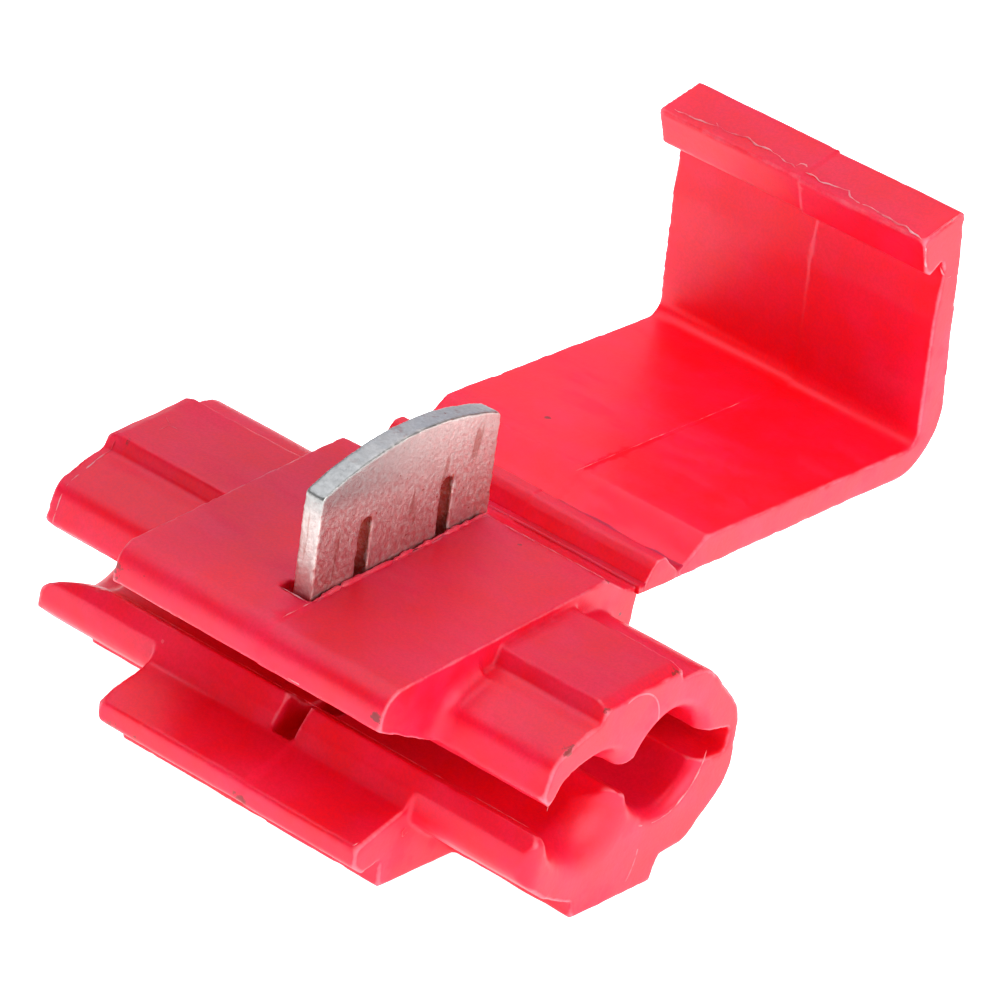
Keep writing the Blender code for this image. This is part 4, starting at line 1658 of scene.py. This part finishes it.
@dataclass
class Cover:
    """Flat panel, upstanding wall and latch hook."""

    sizes: Sizes = SIZES
    length: float = 13.67
    height: float = 9.59
    panel: float = 1.16
    wall: float = 0.95
    heel_rise: float = 0.21
    heel_radius: float = 2.00
    lean: float = 1.76
    taper: float = 0.55
    hook_reach: float = 2.10
    hook_nose: float = 0.55
    hook_depth: float = 1.97
    hook_notch: float = 0.42
    face_top: float = 3.83
    top_slope: float = 0.27
    top_step: float = 0.055
    softening: Softening = Softening(split_step=(0.0, -0.03, -0.06), seed=31, most_triangles=170_000)

    def corners(self) -> tuple[Point, Point, Point]:
        """The corners that the rest of the section hangs on.

        Returns:
            The front of the panel's underside, the heel and the top of the hook's rear.
        """
        s = self.sizes
        base = (s.cover_axis[0] + s.web_gap / 2, s.web_under + 0.02)
        heel = (base[0] + self.length, base[1] + self.heel_rise)
        return base, heel, (heel[0] - self.lean, base[1] + self.height)

    def outline(self) -> list[Point]:
        """Section of the cover.

        Returns:
            The closed outline.
        """
        s = self.sizes
        base, heel, top = self.corners()
        face = heel[0] - self.taper - self.wall
        return rounded([
            (*base, 0), (*heel, self.heel_radius), (*top, 0.22),
            *beside((top[0] - self.hook_reach, top[1] - self.hook_nose),
                    (0.0, 0.0, 0.12), (0.58, -1.26, 0.12)),
            *beside((top[0], top[1] - self.hook_depth), (-1.24, 0.0, 0.05), (-0.74, self.hook_notch, 0.08),
                    (-0.46, -0.06, 0.15)),
            (top[0] - 0.40, top[1] - self.face_top, 0),
            (face, base[1] + self.panel + 0.01, 0.50), (base[0] + 1.20, base[1] + self.panel, 0.30),
            *beside(s.cover_axis, (0.42, 0.19, 0.20)), (base[0], s.cover_axis[1], 0),
        ])

    def build(self, finish: bpy.types.Material) -> Piece:
        """Build the cover in its plastic.

        Args:
            finish: its plastic.

        Returns:
            The piece.
        """
        solid = prism("cover_moulding", self.outline(), self.sizes.strap_x)
        self.softening.apply(solid, "cover")
        return Piece(solid, "cover", finish, "cover_plastic", ("cover",))

    def plastic(self) -> MouldedPlastic:
        """The cover's finish, with its smears: on the panel and at the hook's near corner.

        Returns:
            The finish.
        """
        smears = (Smear(-1.83, 8.78, 8.42, 0.12), Smear(5.9, 16.6, 16.7, 0.20), Smear(5.9, 17.2, 16.75, 0.16))
        return MouldedPlastic("cover_polypropylene", glow=0.9, glow_depth=2.8, smears=smears)

    def on_top(self, *places: Point) -> tuple[Place, ...]:
        """Points on the hook's sloping top face, which steps down at the mould split.

        Args:
            places: each point's x and y.

        Returns:
            The points.
        """
        nose, split, over = self.nose(), self.sizes.split_x, 0.01
        lifts = [over if x < split else over - self.top_step for x, _ in places]
        return tuple((x, y, nose[1] + self.top_slope * (y - nose[0]) + lift)
                     for (x, y), lift in zip(places, lifts))

    def nose(self) -> Point:
        """The softened corner at the front of the hook's top face."""
        top = self.corners()[2]
        return top[0] - self.hook_reach + 0.03, top[1] - self.hook_nose - 0.01

    def flash(self) -> Flash:
        """Flash and the pale split line of the cover.

        Returns:
            The lines.
        """
        low, high = self.sizes.strap_x
        split = self.sizes.split_x
        y, z = self.nose()
        up_slope = (0.0, 0.97, 0.26)
        corner = high - 0.045
        far = self.on_top((-4.60, 16.10), (-2.90, 16.20), (-1.60, 16.25), (0.70, 16.15))
        near = self.on_top(
            (0.90, 16.10), (2.40, 16.25), (2.55, 16.35), (2.75, 16.10), (5.40, 15.90), (5.85, 15.80))
        branch = self.on_top((-2.92, 16.40), (-2.72, 16.28), (-2.54, 16.08))
        curl = self.on_top((0.50, 16.20), (0.56, 16.40), (0.72, 16.42), (0.88, 16.30), (0.94, 16.12))
        end_edge = self.on_top((corner, 15.86), (corner, 16.20), (corner, 17.60))
        nose_edge = on_end(high - 0.035, (15.86, 16.12), (16.01, 15.80), (16.14, 15.36), (16.31, 15.10))
        wall_edge = on_end(low + 0.03, (17.52, 13.59), (17.73, 12.03), (18.02, 10.23))
        notch_edge = on_end(
            high - 0.01, (17.00, 15.05), (17.29, 14.70), (17.64, 14.47), (17.85, 14.49), (17.69, 14.63))
        nose_split = on_end(split, (y + 0.02, z - 0.05), (y + 0.52, z - 1.15))
        panel_split = on_end(split, (6.74, 8.405), (10.2, 8.44), (15.2, 8.47))
        return Flash("cover_flash", "cover", "cover_plastic", (
            Rib(far, 0.028, 0.25, 0.045, side=up_slope),
            Rib(branch, 0.022, 0.1),
            Rib(curl, 0.030, 0.1),
            Rib(near, 0.030, 0.20, 0.040, side=up_slope),
            Rib(end_edge, 0.024, 0.3, 0.006, brown=1.0, pale=0.4),
            Rib(nose_edge, 0.036, 0.2, 0.006),
            Rib(nose_split, 0.024, 0.7, 0.006),
            Rib(wall_edge, 0.045, 0.8, 0.03, pale=0.4),
            Rib(notch_edge, 0.024, 0.2, 0.010),
            Rib(panel_split, 0.012, 0.8, 0.004, pale=0.6),
        ), seed=205)


@dataclass
class ContactBlade:
    """Crowned tin-plated plate with two wire slots."""

    sizes: Sizes = SIZES
    crown: float = 4.21
    crown_radius: float = 11.2
    foot: float = -1.30
    foot_bevel: float = 0.25
    slots: Point = (-5.70, -1.95)
    slot_half: float = 0.26
    slot_top: float = 1.95
    slot_flare: Point = (0.22, 0.40)
    softening: Softening = Softening(voxel=0.05, rounds=6, most_triangles=110_000, unevenness=0.005,
                                     nicks=0.02, seed=41)

    def outline(self) -> list[Point]:
        """Section of the blade, as plate positions.

        Returns:
            The closed outline, along the plate and square to it.
        """
        start, end = self.sizes.blade_s
        middle, bevel, (flare, rise) = (start + end) / 2, self.foot_bevel, self.slot_flare
        spread = math.degrees(math.asin((end - middle) / self.crown_radius))
        crown = arc((middle, self.crown - self.crown_radius), self.crown_radius, 90 - spread, 90 + spread)
        corners = [(start, self.foot + bevel, 0), (start + bevel, self.foot, 0)]
        for slot in self.slots:
            left, right = slot - self.slot_half, slot + self.slot_half
            top = arc((slot, self.slot_top - self.slot_half), self.slot_half, 180, 0)
            corners += [(left - flare, self.foot, 0), (left, self.foot + rise, 0)]
            corners += [(y, z, 0) for y, z in top]
            corners += [(right, self.foot + rise, 0), (right + flare, self.foot, 0)]
        corners += [(end - bevel, self.foot, 0), (end, self.foot + bevel, 0), (*crown[0], 0.32)]
        corners += [*((y, z, 0) for y, z in crown[1:-1]), (*crown[-1], 0.16)]
        return rounded(corners)

    def build(self, finish: bpy.types.Material) -> Piece:
        """Build the blade in its metal, and note its wire slots, where shade is painted.

        Args:
            finish: its metal.

        Returns:
            The piece.
        """
        outline = [self.sizes.on_plate(s, h) for s, h in self.outline()]
        solid = prism("tinned_blade", outline, self.sizes.blade_x)
        self.softening.apply(solid, "contact_blade")
        skin = Skin(solid.data)
        across, rise = math.cos(self.sizes.plate_tilt), math.sin(self.sizes.plate_tilt)
        y, z = skin.points[:, 1] - self.sizes.plate_rear[0], skin.points[:, 2] - self.sizes.plate_rear[1]
        s, h = y * across + z * rise, z * across - y * rise
        below = h < self.slot_top + 0.02
        inside = [(np.abs(s - slot) < self.slot_half + 0.01) & below for slot in self.slots]
        # mark the wire slots for the painted shade inside them
        skin.note("slot_shade", np.any(inside, axis=0).astype(float))
        return Piece(solid, "contact_blade", finish, "tinned_metal", ("contact_blade",))


@dataclass
class HingeWeb:
    """A thin web in the root of one hinge groove, which bends between two bodies."""

    name: str
    axis: Point
    bodies: tuple[str, str]
    under: float
    slot: str = "link_plastic"
    reach: float = 0.22
    lift: float = 0.012
    inset: float = 0.02
    hollow: float = 0.9
    bend_reach: float = 0.12
    unevenness: float = 0.005
    sizes: Sizes = SIZES

    def ring(self, x: float) -> list[Place]:
        """The web's section at one place along the wires: its hollow top, then back along its flat underside.

        Args:
            x: the place.

        Returns:
            The section's points.
        """
        steps = [-self.reach + 2 * self.reach * i / 24 for i in range(25)]
        tops = [self.axis[1] + self.lift + self.hollow * max(0.0, abs(y) - 0.05) ** 2 for y in steps]
        over = [(x, self.axis[0] + y, top) for y, top in zip(steps, tops)]
        return [*over, *((x, self.axis[0] + y, self.under + 0.01) for y in reversed(steps))]

    def build(self, finish: bpy.types.Material) -> bpy.types.Object:
        """Build the web in its plastic.

        Args:
            finish: its plastic.

        Returns:
            The finished object.
        """
        low, high = self.sizes.strap_x
        first, run = low + self.inset, high - low - 2 * self.inset
        body = bmesh.new()
        skin_rings(body, [self.ring(first + run * i / 60) for i in range(61)])
        solid = finished(self.name, body)
        skin = Skin(solid.data)
        skin.points[:, 2] += Waves(71, 0.8, 3.0).at(skin.points) * self.unevenness
        skin.points *= MM
        skin.store()
        for name in ("edge", "hollow"):
            skin.note(name, np.zeros(len(skin.points)))
        skin.shade_smooth()
        solid.data.materials.append(finish)
        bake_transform(solid)
        LOG.info("%s bends between %s and %s", self.name, *self.bodies)
        return solid


@dataclass(frozen=True)
class Softbox:
    """A rectangular soft light: its name, place and size in metres, power in watts and tint."""

    name: str
    place: Place
    size: Point
    power: float
    tint: Colour = (1.0, 1.0, 1.0)

    def hang(self, aim: Place) -> None:
        """Make the light and turn it to face the part.

        Args:
            aim: the place that it faces.
        """
        data = bpy.data.lights.new(self.name, "AREA")
        data.shape = "RECTANGLE"
        data.size, data.size_y = self.size
        data.energy = self.power
        data.color = self.tint
        lamp = linked(self.name, data)
        lamp.location = self.place
        lamp.rotation_euler = (Vector(self.place) - Vector(aim)).to_track_quat("Z", "Y").to_euler()


@dataclass
class Studio:
    """Pale floor, soft lights and the camera of the photograph."""

    azimuth: float = math.radians(34.39)
    elevation: float = math.radians(26.66)
    roll: float = math.radians(11.25)
    eye_offset: Place = (0.00023, 0.00137, 0.2035)
    lens: float = 237.69
    aim: Place = (0.0, 0.0045, 0.006)
    air_strength: float = 0.04
    lights: tuple[Softbox, ...] = (
        Softbox("window", (0.34, 0.00, 0.14), (0.26, 0.26), 0.9),
        Softbox("overhead", (-0.08, 0.00, 0.40), (0.50, 0.50), 1.50, (0.92, 0.94, 1.0)),
        Softbox("front_left", (-0.24, -0.19, 0.35), (0.28, 0.28), 0.14, (0.92, 0.94, 1.0)),
        Softbox("backdrop", (-0.30, 0.42, 0.27), (0.50, 0.35), 0.48, (0.66, 0.80, 1.0)),
    )

    def build(self) -> None:
        """Make the camera, the floor, the lights and the sky."""
        self.camera()
        self.floor()
        for light in self.lights:
            light.hang(self.aim)
        world = bpy.data.worlds.new("studio_air")
        world.use_nodes = True
        air = world.node_tree.nodes["Background"]
        air.inputs["Color"].default_value = (1.0, 1.0, 1.0, 1.0)
        air.inputs["Strength"].default_value = self.air_strength
        bpy.context.scene.world = world
        bpy.context.scene.view_settings.view_transform = "Standard"

    def camera(self) -> None:
        """Set the camera where the photograph was taken from."""
        data = bpy.data.cameras.new("camera")
        data.lens = self.lens
        data.sensor_width = 36.0
        data.clip_start = 0.01
        data.clip_end = 10.0
        eye = linked("camera", data)
        level = Matrix.Rotation(math.pi / 2 - self.elevation, 4, "X") @ Matrix.Rotation(self.roll, 4, "Z")
        turn = Matrix.Rotation(self.azimuth, 4, "Z") @ level
        eye.matrix_world = Matrix.Translation(self.aim) @ turn @ Matrix.Translation(self.eye_offset)
        bpy.context.scene.camera = eye

    def floor(self) -> None:
        """Lay a large sheet of pale paper under the part."""
        body = bmesh.new()
        bmesh.ops.create_grid(body, x_segments=8, y_segments=8, size=3.0)
        sheet = finished("studio_floor", body)
        sheet.data.materials.append(StudioPaper().make())


def main() -> None:
    """Build every piece of the connector and its studio, in order."""
    logging.basicConfig(level=logging.INFO, format="%(message)s")
    effects = Effects()
    housing, cover = Housing(), Cover()
    housing_finish = housing.plastic().make(effects)
    link_finish = MouldedPlastic("link_polypropylene", edge_share=0.7, glow=0.7, glow_depth=1.4).make(effects)
    cover_finish = cover.plastic().make(effects)
    blade_finish = TinPlate().make(effects)
    flash_finish = FlashPlastic().make(effects)
    housing.build(housing_finish).dress()
    HingeLink().build(link_finish).dress()
    cover.build(cover_finish).dress()
    ContactBlade().build(blade_finish).dress()
    under = SIZES.web_under
    HingeWeb("hinge_web_front", SIZES.link_axis, ("housing", "hinge_link"), under).build(link_finish)
    HingeWeb("hinge_web_rear", SIZES.cover_axis, ("hinge_link", "cover"), under + 0.02).build(link_finish)
    housing.flash().build(flash_finish).dress()
    cover.flash().build(flash_finish).dress()
    Studio().build()
    bpy.context.view_layer.update()


if __name__ == "__main__":
    main()
